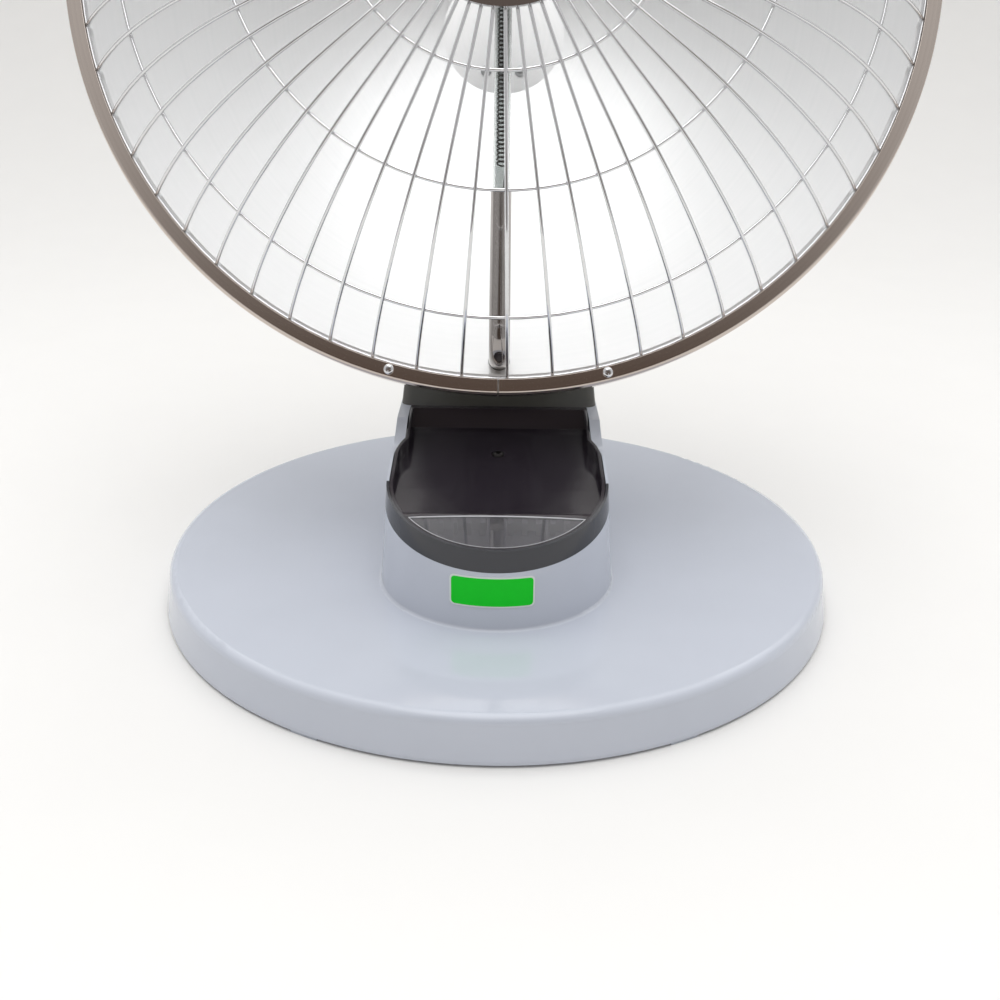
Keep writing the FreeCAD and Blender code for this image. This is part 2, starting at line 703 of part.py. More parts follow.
def rotary_switch():
    half, face = SWITCH_HALF, -switch_gap()
    case = box(-half, half, -half, half, face - SWITCH_DEPTH, face)
    return on_knob_axis(case.cut(rod(SHAFT_RADIUS + RUN, V(0, 0, face - SHAFT_HOLD - 1), ORIGIN)))


def tip_plunger():
    """Spring-loaded foot of the tip-over switch, drawn where it rests on the floor."""
    low, high = PLUNGER_LIFT, disc_under - TIP_SWITCH_HEIGHT - FACE_GAP
    collar = plate_top + GUIDE_HEIGHT + PLUNGER_TRAVEL + FACE_GAP
    wide, top = PLUNGER_RADIUS + GUIDE_WALL, collar + PLUNGER_COLLAR
    pin = turned([(0, low), (PLUNGER_RADIUS - PLUNGER_NOSE, low), (PLUNGER_RADIUS, low + PLUNGER_NOSE),
                  (PLUNGER_RADIUS, collar), (wide, collar), (wide, top), (PLUNGER_STEM, top),
                  (PLUNGER_STEM, high), (0, high)])
    return pin.translated(V(0, plunger_y, 0))


def tip_switch():
    long, wide = TIP_SWITCH_LENGTH / 2, TIP_SWITCH_WIDTH / 2
    return box(-long, long, plunger_y - wide, plunger_y + wide, disc_under - TIP_SWITCH_HEIGHT, disc_under)


def connector(count, pitch, depth, height):
    """Block standing on Z = 0 with a row of screw wells in its top."""
    long = count * pitch / 2
    block = box(-long, long, -depth / 2, depth / 2, 0, height)
    places = [(i - (count - 1) / 2) * pitch for i in range(count)]
    return block.cut([rod(WELL_RADIUS, V(x, 0, height - WELL_DEPTH), V(x, 0, height + 1)) for x in places])


def mains_terminal():
    block = connector(3, TERMINAL_PITCH, TERMINAL_DEPTH, TERMINAL_HEIGHT)
    return block.translated(V(TERMINAL_X, TERMINAL_Y, plate_top))


def gland_boss():
    """Upright flat on the leaning skirt that the gland clips into."""
    radius = gland_flange + GLAND_STEP
    return rod(radius, V(0, BASE_RADIUS - BASE_WALL, GLAND_RISE), V(0, BASE_RADIUS, GLAND_RISE))


def cord_gland():
    inside, outside = BASE_RADIUS - BASE_WALL - 2 * CLEAR, BASE_RADIUS + FACE_GAP
    steps = [(GLAND_BORE, inside - GLAND_LIP), (gland_flange, inside - GLAND_LIP), (gland_flange, inside),
             (GLAND_RADIUS, inside), (GLAND_RADIUS, outside), (gland_flange, outside),
             (GLAND_RADIUS, outside + GLAND_LIP), (GLAND_BORE, outside + GLAND_LIP)]
    bush = turned(steps)
    bush.rotate(ORIGIN, X, -90)
    return bush.translated(V(0, 0, GLAND_RISE))


# Head, drawn with the rim in the plane Z = 0 and the dish looking along +Z
head_place = FreeCAD.Placement(V(0, DISH_Y, DISH_RISE), FreeCAD.Rotation(X, 90 - DISH_TILT))


def in_head(shape):
    placed = shape.copy()
    placed.transformShape(head_place.toMatrix(), False)
    return placed


def bowl_z(radius):
    """Height of the reflector's polished face, a parabola with a flat middle."""
    radius = max(radius, BOWL_FLAT)
    return -BOWL_DEPTH * (1 - (radius / bowl_radius) ** 2)


flat_back = bowl_z(0) - SHEET
hinge_in_head = head_place.inverse().multVec(hinge)


def parabola(drop):
    """Edge along the parabola from the flat middle to the rim, lowered by drop."""
    radii = [BOWL_FLAT + (bowl_radius - BOWL_FLAT) * i / 6 for i in range(7)]
    curve = Part.BSplineCurve()
    curve.interpolate([V(r, 0, bowl_z(r) - drop) for r in radii])
    return curve.toShape()


def flat_line(a, b):
    return Part.LineSegment(V(a[0], 0, a[1]), V(b[0], 0, b[1])).toShape()


def flange_radius():
    return RIM_RADIUS - RIM_SHEET - 2 * CLEAR


def reflector():
    inner, outer = parabola(0), parabola(SHEET)
    flange, middle = flange_radius(), bowl_z(0)
    back = middle - SHEET
    wire = Part.Wire([flat_line((0, middle), (BOWL_FLAT, middle)), inner,
                      flat_line((bowl_radius, 0), (flange, 0)), flat_line((flange, 0), (flange, -SHEET)),
                      flat_line((flange, -SHEET), (bowl_radius, -SHEET)), outer,
                      flat_line((BOWL_FLAT, back), (0, back)), flat_line((0, back), (0, middle))])
    bowl = Part.Face(wire).revolve(ORIGIN, Z, 360)
    cuts = [rod(HOLDER_RADIUS + CLEAR, V(0, y, bowl_z(0) / 2), V(0, y, TUBE_FORWARD))
            for y in (-holder_circle, holder_circle)]
    cuts += [rod(SCREW_RADIUS + RUN, V(x, y, -FAR), V(x, y, 0)) for x, y in bracket_holes()]
    cuts += rim_holes(RIM_SCREW_RADIUS + RUN).Solids
    return in_head(bowl.cut(cuts))


def rim_screw_angles():
    low = -90 - SEAM_TURN
    return [low - RIM_SCREW_TURN, low + RIM_SCREW_TURN, 90 - RIM_SCREW_TURN, 90 + RIM_SCREW_TURN]


def rim_face_z():
    return 2 * HOOP_RADIUS + 2 * CLEAR + RIM_SHEET


def rim_middle():
    """Radius of the screws in the middle of the band's face."""
    return RIM_RADIUS - RIM_SCREW_IN


def rim_holes(radius):
    return around(rod(radius, V(rim_middle(), 0, -FAR), V(rim_middle(), 0, FAR)), rim_screw_angles())


def rim_band():
    """Sheet band of U section round the rim, open at the seam."""
    outer, face, back = RIM_RADIUS, rim_face_z(), rim_face_z() - RIM_DEPTH
    bend = RIM_ROUND * (1 - math.sqrt(0.5))
    small = RIM_ROUND - RIM_SHEET
    dent = small * (1 - math.sqrt(0.5))
    wall, under = outer - RIM_SHEET, face - RIM_SHEET
    steps = [(outer - RIM_FACE, under), (outer - RIM_FACE, face), (outer - RIM_ROUND, face),
             ("via", outer - bend, face - bend), (outer, face - RIM_ROUND), (outer, back),
             (outer - RIM_LIP, back), (outer - RIM_LIP, back + RIM_SHEET), (wall, back + RIM_SHEET),
             (wall, face - RIM_ROUND),
             ("via", wall - dent, under - dent), (wall - small, under)]
    gap = math.degrees(RIM_SEAM / RIM_RADIUS)
    band = turned(steps, 360 - gap)
    band.rotate(ORIGIN, Z, -90 - SEAM_TURN + gap / 2)
    return in_head(band.cut(rim_holes(RIM_SCREW_RADIUS + RUN).Solids))


def rim_screws():
    seat = V(rim_middle(), 0, rim_face_z())
    one = screw(RIM_SCREW_RADIUS, RIM_SCREW_HEAD, RIM_SCREW_RISE, rim_face_z() + 4 * SHEET, seat, Z)
    return in_head(around(one, rim_screw_angles()))


# Wire guard
def hoop_circle():
    return RIM_RADIUS - RIM_FACE - CLEAR - FACE_GAP


def wire_end():
    """Where a radial wire meets the hoop, as radius and height."""
    return hoop_circle() - WELD_IN, HOOP_RADIUS + CLEAR + WELD_RISE


def bend_centre():
    """Centre of the wires' bend, tangent to the flat middle of the guard."""
    radius, height = wire_end()
    rise = GUARD_BEND - (GUARD_HEIGHT - height)
    return radius - math.sqrt(GUARD_BEND ** 2 - rise ** 2), GUARD_HEIGHT - GUARD_BEND


def six_sided(radius, centre, across, up):
    """Closed wire of a hexagon about a centre, in the plane of two unit vectors."""
    corners = []
    for i in range(6):
        angle = math.radians(30 + 60 * i)
        corners.append(centre.add(across * (radius * math.cos(angle))).add(up * (radius * math.sin(angle))))
    return Part.makePolygon(corners + corners[:1])


def guard_wires():
    cx, cz = bend_centre()
    end = V(wire_end()[0], 0, wire_end()[1])
    start, join = V(HUB_RADIUS, 0, GUARD_HEIGHT), V(cx, 0, GUARD_HEIGHT)
    half = math.atan2(end.x - cx, end.z - cz) / 2
    middle = V(cx + GUARD_BEND * math.sin(half), 0, cz + GUARD_BEND * math.cos(half))
    path = Part.Wire([Part.LineSegment(start, join).toShape(), Part.Arc(join, middle, end).toShape()])
    wire = path.makePipeShell([six_sided(WIRE_RADIUS, start, Y, Z)], True, False)
    turns = [GUARD_TURN - 90 + 360.0 * i / WIRE_COUNT for i in range(WIRE_COUNT)]
    return in_head(around(wire, turns))


def hoop(section, radius, height):
    ring = Part.Face(six_sided(section, V(radius, 0, height), X, Z))
    return ring.revolve(ORIGIN, Z, 360)


def guard_rings():
    """Rings on the inner side of the radial wires, and the hub ring they start from."""
    cx, cz = bend_centre()
    under = 2 * WIRE_RADIUS + FACE_GAP
    rings = []
    for circle in RING_CIRCLES:
        reach = max(circle - cx, 0)
        angle = math.asin(reach / GUARD_BEND)
        depth = GUARD_BEND - under
        radius = cx + depth * math.sin(angle) if reach > 0 else circle
        rings.append(hoop(WIRE_RADIUS, radius, cz + depth * math.cos(angle)))
    rings.append(hoop(WIRE_RADIUS, HUB_RADIUS + 2 * WIRE_RADIUS, GUARD_HEIGHT - under))
    return in_head(Part.makeCompound(rings))


def guard_hoop():
    return in_head(hoop(HOOP_RADIUS, hoop_circle(), HOOP_RADIUS + CLEAR))


def guard_cap():
    """Pressed disc over the wires' inner ends, crowned like a shallow dome."""
    low = GUARD_HEIGHT + WIRE_RADIUS + FACE_GAP
    ball = (CAP_RADIUS ** 2 + CAP_CROWN ** 2) / (2 * CAP_CROWN)
    centre = low + CAP_EDGE + CAP_CROWN - ball

    def crown(radius, reach):
        angle = math.asin(reach / radius)
        steps = [(radius * math.sin(a), centre + radius * math.cos(a)) for a in (angle, angle / 2)]
        return steps[0], ("via",) + steps[1], (0, centre + radius)

    outer, inner = crown(ball, CAP_RADIUS), crown(ball - CAP_SHEET, CAP_RADIUS - CAP_SHEET)
    steps = [(CAP_RADIUS - CAP_SHEET, low), (CAP_RADIUS, low)] + list(outer) + list(reversed(inner))
    return in_head(turned(steps))


# Heating tube and its holders
def holder_path(side):
    """Along the dish, then bent back through the reflector."""
    turn = holder_circle - HOLDER_BEND
    bow = HOLDER_BEND * math.sqrt(0.5)
    start = V(0, side * holder_mouth, TUBE_FORWARD)
    low = V(0, side * turn, TUBE_FORWARD)
    middle = V(0, side * (turn + bow), TUBE_FORWARD - HOLDER_BEND + bow)
    bent = V(0, side * holder_circle, TUBE_FORWARD - HOLDER_BEND)
    tail = bent.sub(Z * HOLDER_TAIL)
    return start, Part.Wire([Part.LineSegment(start, low).toShape(), Part.Arc(low, middle, bent).toShape(),
                             Part.LineSegment(bent, tail).toShape()])


def tube_holder(side):
    start, path = holder_path(side)
    outside = swept(HOLDER_RADIUS, path, start, Y)
    return in_head(outside.cut(swept(HOLDER_RADIUS - HOLDER_WALL, path, start, Y)))


def holder_collars():
    """Clamping collars on the holders' tails behind the reflector."""
    collars = []
    for side in (-1, 1):
        top = V(0, side * holder_circle, bowl_z(holder_circle - COLLAR_RADIUS) - SHEET - FACE_GAP)
        collars.append(tube(COLLAR_RADIUS, HOLDER_RADIUS + RUN, top.sub(Z * COLLAR_LENGTH), top))
    return in_head(Part.makeCompound(collars))


def tube_radius():
    return HOLDER_RADIUS - HOLDER_WALL - CLEAR


def quartz_tube():
    reach = holder_mouth + TUBE_GRIP
    start, end = V(0, -reach, TUBE_FORWARD), V(0, reach, TUBE_FORWARD)
    return in_head(tube(tube_radius(), tube_radius() - TUBE_WALL, start, end))


def tube_plugs():
    reach = holder_mouth + TUBE_GRIP
    plugs = [rod(tube_radius(), V(0, s * reach, TUBE_FORWARD), V(0, s * (reach + PLUG_LENGTH), TUBE_FORWARD))
             for s in (-1, 1)]
    return in_head(Part.makeCompound(plugs))


def filament():
    reach = holder_mouth + TUBE_GRIP
    return in_head(rod(FILAMENT_RADIUS, V(0, -reach, TUBE_FORWARD), V(0, reach, TUBE_FORWARD)))


# Bracket and rear housing
def bracket_holes():
    return [(x, y) for x in (-BRACKET_HOLE, BRACKET_HOLE) for y in (-STUD_OFFSET, STUD_OFFSET)]


def head_bracket():
    """Channel of bent sheet: a web on the reflector and two arms down to the hinge."""
    outside = arm_outside()
    web = box(-outside, outside, -BRACKET_HALF, BRACKET_HALF, flat_back - ARM_THICK, flat_back)
    pivot = V(0, hinge_in_head.y, hinge_in_head.z)
    eye = rod(LUG_RADIUS, V(-outside, pivot.y, pivot.z), V(outside, pivot.y, pivot.z))
    back = flat_back - BRACKET_DEPTH
    lug = math.sqrt(LUG_RADIUS ** 2 - ARM_WAIST ** 2)
    corners = [(BRACKET_HALF, flat_back), (-BRACKET_HALF, flat_back), (pivot.y + ARM_WAIST, pivot.z + lug),
               (pivot.y - ARM_WAIST, pivot.z - lug), (-BRACKET_HALF, back),
               (BRACKET_HALF, back + BRACKET_SLANT)]
    arms = side_prism(corners, outside).fuse(eye)
    gap = outside - ARM_THICK
    arms = arms.cut(box(-gap, gap, -FAR, FAR, -FAR, FAR))
    holes = [rod(SCREW_RADIUS + RUN, V(x, y, -FAR), V(x, y, 0)) for x, y in bracket_holes()]
    holes.append(rod(BOLT_RADIUS + RUN, V(-FAR, pivot.y, pivot.z), V(FAR, pivot.y, pivot.z)))
    return in_head(web.fuse(arms).removeSplitter().cut(holes))


def bracket_screws():
    length = SHEET + ARM_THICK + 2 * SCREW_HEAD
    screws = [screw(SCREW_RADIUS, SCREW_HEAD, HEAD_HEIGHT, length, V(x, y, bowl_z(0)), Z)
              for x, y in bracket_holes()]
    return in_head(Part.makeCompound(screws))


def housing_back():
    return flat_back - HOUSING_DEPTH


def housing_side(inset):
    """Half section of the housing from its edge on the bowl to the middle of its back."""
    rim = HOUSING_RADIUS - inset
    low, end = housing_back() + inset, rim - HOUSING_TAPER
    bend = HOUSING_ROUND * (1 - math.sqrt(0.5))
    return [(rim, bowl_z(rim) - SHEET - FACE_GAP), (end, low + HOUSING_ROUND),
            ("via", end - bend, low + bend), (end - HOUSING_ROUND, low), (0, low)]


def rear_housing():
    shell = turned(housing_side(0) + housing_side(HOUSING_WALL)[::-1])
    slot = arm_outside() + 2 * CLEAR
    inner = slot - ARM_THICK - 4 * CLEAR
    arm_slot = box(inner, slot, -FAR, -BRACKET_HALF, -FAR, FAR)
    half, deep = VENT_WIDTH / 2, flat_back - HOUSING_DEPTH / 2
    vent = box(VENT_INNER, VENT_OUTER, -half, half, -FAR, deep)
    vents = around(vent, [360.0 * i / VENT_COUNT for i in range(VENT_COUNT)]).Solids
    studs = [rod(SCREW_RADIUS + RUN, V(0, y, -FAR), V(0, y, 0)) for y in (-STUD_OFFSET, STUD_OFFSET)]
    return in_head(shell.cut([arm_slot, arm_slot.mirror(ORIGIN, X)] + vents + studs))


def housing_studs():
    web, back = flat_back - ARM_THICK, housing_back() + HOUSING_WALL
    studs = [tube(STUD_RADIUS, SCREW_RADIUS + RUN, V(0, y, back), V(0, y, web))
             for y in (-STUD_OFFSET, STUD_OFFSET)]
    return in_head(Part.makeCompound(studs))


def housing_screws():
    seats = [V(0, y, housing_back()) for y in (-STUD_OFFSET, STUD_OFFSET)]
    down = Z.negative()
    screws = [screw(SCREW_RADIUS, SCREW_HEAD, HEAD_HEIGHT, HOUSING_SCREW_LENGTH, seat, down) for seat in seats]
    return in_head(Part.makeCompound(screws))


def heat_terminal():
    block = connector(2, BLOCK_LENGTH / 2, BLOCK_WIDTH, BLOCK_HEIGHT)
    block.rotate(ORIGIN, X, 180)
    return in_head(block.translated(V(0, 0, flat_back - ARM_THICK)))


def thermal_cutout():
    """Round cut-out can on the outer face of one bracket arm."""
    seat = V(arm_outside(), CUTOUT_OFFSET, flat_back - BRACKET_DEPTH / 2)
    top = seat.add(X * CUTOUT_THICK)
    return in_head(rod(CUTOUT_RADIUS, seat, top).fuse(rod(CUTOUT_CAP, top, top.add(X * CUTOUT_RISE))))


PIECES = {
    "base_cover": base_cover,
    "base_plate": base_plate,
    "base_screws": base_screws,
    "base_feet": base_feet,
    "ballast": ballast,
    "front_bezel": front_bezel,
    "scoop_cover": scoop_cover,
    "cover_screw": cover_screw,
    "window_lens": window_lens,
    "light_tray": light_tray,
    "neck_front": lambda: neck_half(True),
    "neck_rear": lambda: neck_half(False),
    "neck_post": neck_post,
    "hinge_knuckle": hinge_knuckle,
    "hinge_washers": hinge_washers,
    "hinge_bolt": hinge_bolt,
    "hinge_nut": hinge_nut,
    "control_knob": control_knob,
    "switch_shaft": switch_shaft,
    "rotary_switch": rotary_switch,
    "tip_plunger": tip_plunger,
    "tip_switch": tip_switch,
    "mains_terminal": mains_terminal,
    "cord_gland": cord_gland,
    "reflector": reflector,
    "rim_band": rim_band,
    "rim_screws": rim_screws,
    "guard_wires": guard_wires,
    "guard_rings": guard_rings,
    "guard_hoop": guard_hoop,
    "guard_cap": guard_cap,
    "lower_holder": lambda: tube_holder(-1),
    "upper_holder": lambda: tube_holder(1),
    "holder_collars": holder_collars,
    "quartz_tube": quartz_tube,
    "tube_plugs": tube_plugs,
    "filament": filament,
    "head_bracket": head_bracket,
    "bracket_screws": bracket_screws,
    "rear_housing": rear_housing,
    "housing_studs": housing_studs,
    "housing_screws": housing_screws,
    "heat_terminal": heat_terminal,
    "thermal_cutout": thermal_cutout,
}

os.makedirs("parts", exist_ok=True)
for name, make in PIECES.items():
    make().translated(Y * -FRAME_BACK).exportStep("parts/" + name + ".step")
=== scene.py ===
import math

import bpy
from mathutils import Matrix, Vector


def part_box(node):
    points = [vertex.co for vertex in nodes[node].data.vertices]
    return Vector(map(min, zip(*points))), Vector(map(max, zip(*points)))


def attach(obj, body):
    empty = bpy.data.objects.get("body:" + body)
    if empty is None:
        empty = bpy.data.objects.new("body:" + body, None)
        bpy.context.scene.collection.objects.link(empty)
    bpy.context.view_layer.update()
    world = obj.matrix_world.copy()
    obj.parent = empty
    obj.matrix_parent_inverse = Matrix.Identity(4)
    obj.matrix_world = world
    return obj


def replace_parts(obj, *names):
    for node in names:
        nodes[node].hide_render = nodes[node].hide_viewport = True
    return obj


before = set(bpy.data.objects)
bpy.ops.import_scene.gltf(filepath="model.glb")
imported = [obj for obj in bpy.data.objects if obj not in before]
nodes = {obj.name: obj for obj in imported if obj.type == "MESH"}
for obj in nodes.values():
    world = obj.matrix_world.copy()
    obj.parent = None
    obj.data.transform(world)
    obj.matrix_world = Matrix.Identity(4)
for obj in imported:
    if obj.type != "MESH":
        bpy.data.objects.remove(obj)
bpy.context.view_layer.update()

bpy.ops.object.select_all(action="DESELECT")


# Base cover: the round disc and its oval tower in one injection moulding of light
# blue-grey ABS. The mould was polished, so the piece has a deep gloss all over.
MM = 0.001
ABS_IOR = 1.53
GREY_ABS = "#c6cbd6"
GREY_ABS_DEEP = "#c1c6d1"


def linear(hex_colour):
    """sRGB hex value as a linear colour."""
    parts = [int(hex_colour[i:i + 2], 16) / 255 for i in (1, 3, 5)]
    return [c / 12.92 if c <= 0.04045 else ((c + 0.055) / 1.055) ** 2.4 for c in parts] + [1.0]


def add_node(tree, kind, inputs, **settings):
    """A node with its settings; an input takes a value or another node's output."""
    made = tree.nodes.new(kind)
    for key, value in settings.items():
        setattr(made, key, value)
    for key, value in inputs.items():
        if isinstance(value, bpy.types.NodeSocket):
            tree.links.new(value, made.inputs[key])
        else:
            made.inputs[key].default_value = value
    return made


def new_material(name, **sockets):
    """A node material with its even values on the shader's own sockets."""
    made = bpy.data.materials.new(name)
    made.use_nodes = True
    shader = made.node_tree.nodes["Principled BSDF"]
    for key, value in sockets.items():
        shader.inputs[key.replace("_", " ")].default_value = value
    where = add_node(made.node_tree, "ShaderNodeTexCoord", {}).outputs["Object"]
    return made, made.node_tree, shader, where


def finish_surface(tree, shader, pattern, colours, roughness, depth):
    """Colour, gloss and bump of a shader, all driven by one pattern from 0 to 1."""
    tint = add_node(tree, "ShaderNodeMix", {0: pattern, 6: linear(colours[0]), 7: linear(colours[1])},
                    data_type="RGBA")
    tree.links.new(tint.outputs[2], shader.inputs["Base Color"])
    gloss = add_node(tree, "ShaderNodeMapRange",
                     {"Value": pattern, "To Min": roughness[0], "To Max": roughness[1]})
    tree.links.new(gloss.outputs["Result"], shader.inputs["Roughness"])
    bump = add_node(tree, "ShaderNodeBump", {"Height": pattern, "Distance": depth})
    tree.links.new(bump.outputs["Normal"], shader.inputs["Normal"])


def moulded(name, colours, roughness, grain_mm, grain_depth_mm):
    """Moulded plastic: nearly one colour, with the slight unevenness of the mould in its gloss."""
    made, tree, shader, where = new_material(name, IOR=ABS_IOR)
    grain = add_node(tree, "ShaderNodeTexNoise", {"Vector": where, "Scale": 1 / (grain_mm * MM), "Detail": 3})
    finish_surface(tree, shader, grain.outputs["Fac"], colours, roughness, grain_depth_mm * MM)
    return made


def dress(material, *names):
    """Give CAD nodes a real finish in place of their plain one."""
    for name in names:
        nodes[name].data.materials.clear()
        nodes[name].data.materials.append(material)


# Polished ABS: an even pale grey under a wet-looking gloss.
grey_abs = moulded("grey_gloss_abs", (GREY_ABS, GREY_ABS_DEEP), (0.06, 0.1), 30, 0.01)
dress(grey_abs, "base_cover")
base_low, base_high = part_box("base_cover")
disc_middle = Vector((0, (base_low.y + base_high.y) / 2, 0))


# Base floor: a pressed steel plate in black enamel, screwed up into the cover's bosses
# over a cast-iron weight. Low pads of light-grey rubber carry the skirt.
def cast_iron(name):
    """Bare sand casting: dark, dull and pitted."""
    made, tree, shader, where = new_material(name, Metallic=0.7)
    pits = add_node(tree, "ShaderNodeTexNoise", {"Vector": where, "Scale": 1 / (3 * MM), "Detail": 6})
    finish_surface(tree, shader, pits.outputs["Fac"], ("#2c2b2b", "#4b4845"), (0.55, 0.8), 0.25 * MM)
    return made


# Enamel sprayed on sheet: an even black with a fine orange peel.
black_enamel = moulded("black_enamel", ("#1a1a1c", "#222224"), (0.32, 0.45), 1.6, 0.02)
# Moulded rubber: a dull grey, slightly dusty.
grey_rubber = moulded("grey_rubber", ("#b4bac4", "#a9afb9"), (0.6, 0.8), 0.9, 0.05)
dress(black_enamel, "base_plate")
dress(cast_iron("sand_cast_iron"), "ballast")
dress(grey_rubber, "base_feet")


# Plain plate: two layers of film stuck on the front of the tower and bent round it,
# the upper one green and the lower one white, which shows as a narrow edge.
PLATE_MIDDLE = Vector((-1.6, 0, 38.3)) * MM
PLATE_HALF = Vector((17.8, 0, 6.8)) * MM
PLATE_CORNER = 1.9 * MM
PLATE_EDGE = 0.65 * MM
PLATE_LAYERS = (0.22 * MM, 0.3 * MM)     # white backing and green print above the moulding
TOWER_END = 42.0 * MM                    # middle of the tower's round end in front of the disc's middle
TOWER_FOOT_RADIUS = 53.0 * MM
TOWER_FOOT = 20.7 * MM
TOWER_TAPER = math.radians(4.4)
PLATE_TURN = math.radians(50)
PLATE_STEPS = 28
PLATE_SLAB = 1.4                         # height of the slab a layer is cut from, as a share of its own


def select_parts(obj, kind, test):
    """Edit mode with just the faces, edges or corners selected that pass a test on their middle."""
    bpy.ops.object.mode_set(mode="EDIT")
    bpy.ops.mesh.select_mode(type=kind)
    bpy.ops.mesh.select_all(action="DESELECT")
    bpy.ops.object.mode_set(mode="OBJECT")
    points = obj.data.vertices
    parts = {"FACE": obj.data.polygons, "EDGE": obj.data.edges, "VERT": points}[kind]
    for part in parts:
        corners = [part.index] if kind == "VERT" else part.vertices
        part.select = test(sum((points[i].co for i in corners), Vector()) / len(corners))
    bpy.ops.object.mode_set(mode="EDIT")


def combine(obj, other, operation):
    """Boolean with another object, which is used up."""
    bpy.ops.object.select_all(action="DESELECT")
    bpy.context.view_layer.objects.active = obj
    joint = obj.modifiers.new("combine", "BOOLEAN")
    joint.operation = operation
    joint.object = other
    joint.solver = "EXACT"
    bpy.ops.object.modifier_apply(modifier=joint.name)
    bpy.data.objects.remove(other)


def close_up(obj):
    """Merge the doubles of a spun shape and turn its faces outwards."""
    bpy.ops.mesh.select_all(action="SELECT")
    bpy.ops.mesh.remove_doubles(threshold=1e-7)
    bpy.ops.mesh.normals_make_consistent(inside=False)
    bpy.ops.object.mode_set(mode="OBJECT")
    return obj


def plate_layer(name, half, corner, proud):
    """Curved slab on the tower's front, cut to a rectangle with round corners."""
    lift = PLATE_MIDDLE.z - TOWER_FOOT
    radius = TOWER_FOOT_RADIUS - lift * math.tan(TOWER_TAPER)
    axis = disc_middle - Vector((0, TOWER_END, 0))
    middle = Vector((0, -radius, PLATE_MIDDLE.z))
    bpy.ops.mesh.primitive_plane_add(size=2)
    slab = bpy.context.object
    slab.matrix_world = (Matrix.Translation(axis) @ Matrix.Rotation(-PLATE_TURN / 2, 4, "Z")
                         @ Matrix.Translation(middle) @ Matrix.Rotation(-TOWER_TAPER, 4, "X")
                         @ Matrix.Rotation(math.pi / 2, 4, "Y")
                         @ Matrix.Diagonal((half.z * PLATE_SLAB, proud, 1, 1)))
    bpy.ops.object.transform_apply(location=True, rotation=True, scale=True)
    bpy.ops.object.mode_set(mode="EDIT")
    bpy.ops.mesh.spin(steps=PLATE_STEPS, angle=PLATE_TURN, center=axis, axis=(0, 0, -1))
    close_up(slab)
    bpy.ops.mesh.primitive_cube_add(size=2, location=axis + middle + Vector((PLATE_MIDDLE.x, 0, 0)),
                                    scale=(half.x, radius / 2, half.z))
    window = bpy.context.object
    bpy.ops.object.transform_apply(location=True, rotation=True, scale=True)
    select_parts(window, "EDGE", lambda p: abs(abs(p.x - PLATE_MIDDLE.x) - half.x) < 1e-5
                 and abs(abs(p.z - PLATE_MIDDLE.z) - half.z) < 1e-5)
    bpy.ops.mesh.bevel(offset=corner, segments=6, affect="EDGES")
    bpy.ops.object.mode_set(mode="OBJECT")
    combine(slab, window, "INTERSECT")
    slab.name = name
    return slab


def printed_film(name, colours):
    """Printed film: flat strong colour with little shine."""
    made = moulded(name, colours, (0.3, 0.4), 4, 0.002)
    made.node_tree.nodes["Principled BSDF"].inputs["Specular IOR Level"].default_value = 0.2
    return made


plate_inner = Vector((PLATE_HALF.x - PLATE_EDGE, 0, PLATE_HALF.z - PLATE_EDGE))
plate_back = plate_layer("plate_backing", PLATE_HALF, PLATE_CORNER, PLATE_LAYERS[0])
plate_back.data.materials.append(printed_film("white_film", ("#dfe4e2", "#d8deda")))
plate_front = plate_layer("plate_print", plate_inner, PLATE_CORNER - PLATE_EDGE / 2, PLATE_LAYERS[1])
plate_front.data.materials.append(printed_film("green_film", ("#02d222", "#05ca22")))
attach(plate_back, "stand")
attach(plate_front, "stand")


# Front of the tower: a dark-grey gloss bezel on the sloping edge, and the black scooped
# cover inside it, both gloss mouldings. One screw holds the cover to a web below.
# Gloss ABS in two dark shades: nearly black, with clear reflections.
bezel_abs = moulded("dark_grey_gloss_abs", ("#393a3f", "#333439"), (0.08, 0.14), 25, 0.01)
black_abs = moulded("black_gloss_abs", ("#28232a", "#2d282f"), (0.12, 0.18), 20, 0.01)
dress(bezel_abs, "front_bezel")
dress(black_abs, "scoop_cover")
SHARP = math.radians(30)
BEZEL_ROUND = 0.4 * MM
COVER_ROUND = 0.35 * MM


def even_normals(obj):
    """Keep flat faces flat to the eye beside small rounded edges."""
    even = obj.modifiers.new("even", "WEIGHTED_NORMAL")
    even.keep_sharp = True
    bpy.ops.object.modifier_apply(modifier=even.name)


def merged_copy(name, made_name, kind):
    """Copy of a CAD piece with its loose triangles merged, in edit mode with nothing selected."""
    copy = bpy.data.objects.new(made_name, nodes[name].data.copy())
    bpy.context.collection.objects.link(copy)
    bpy.ops.object.select_all(action="DESELECT")
    copy.select_set(True)
    bpy.context.view_layer.objects.active = copy
    bpy.ops.object.mode_set(mode="EDIT")
    bpy.ops.mesh.select_mode(type=kind)
    bpy.ops.mesh.select_all(action="SELECT")
    bpy.ops.mesh.remove_doubles(threshold=1e-6)
    bpy.ops.mesh.select_all(action="DESELECT")
    return copy


def softened(name, width):
    """Copy of a CAD piece with its sharp edges rounded, as polished moulds leave them."""
    copy = merged_copy(name, name + "_soft", "EDGE")
    bpy.ops.mesh.edges_select_sharp(sharpness=SHARP)
    bpy.ops.mesh.bevel(offset=width, segments=2, affect="EDGES", clamp_overlap=True)
    bpy.ops.object.mode_set(mode="OBJECT")
    bpy.ops.mesh.customdata_custom_splitnormals_clear()
    bpy.ops.object.shade_smooth_by_angle(angle=SHARP)
    even_normals(copy)
    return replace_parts(copy, name)


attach(softened("front_bezel", BEZEL_ROUND), "stand")
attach(softened("scoop_cover", COVER_ROUND), "stand")

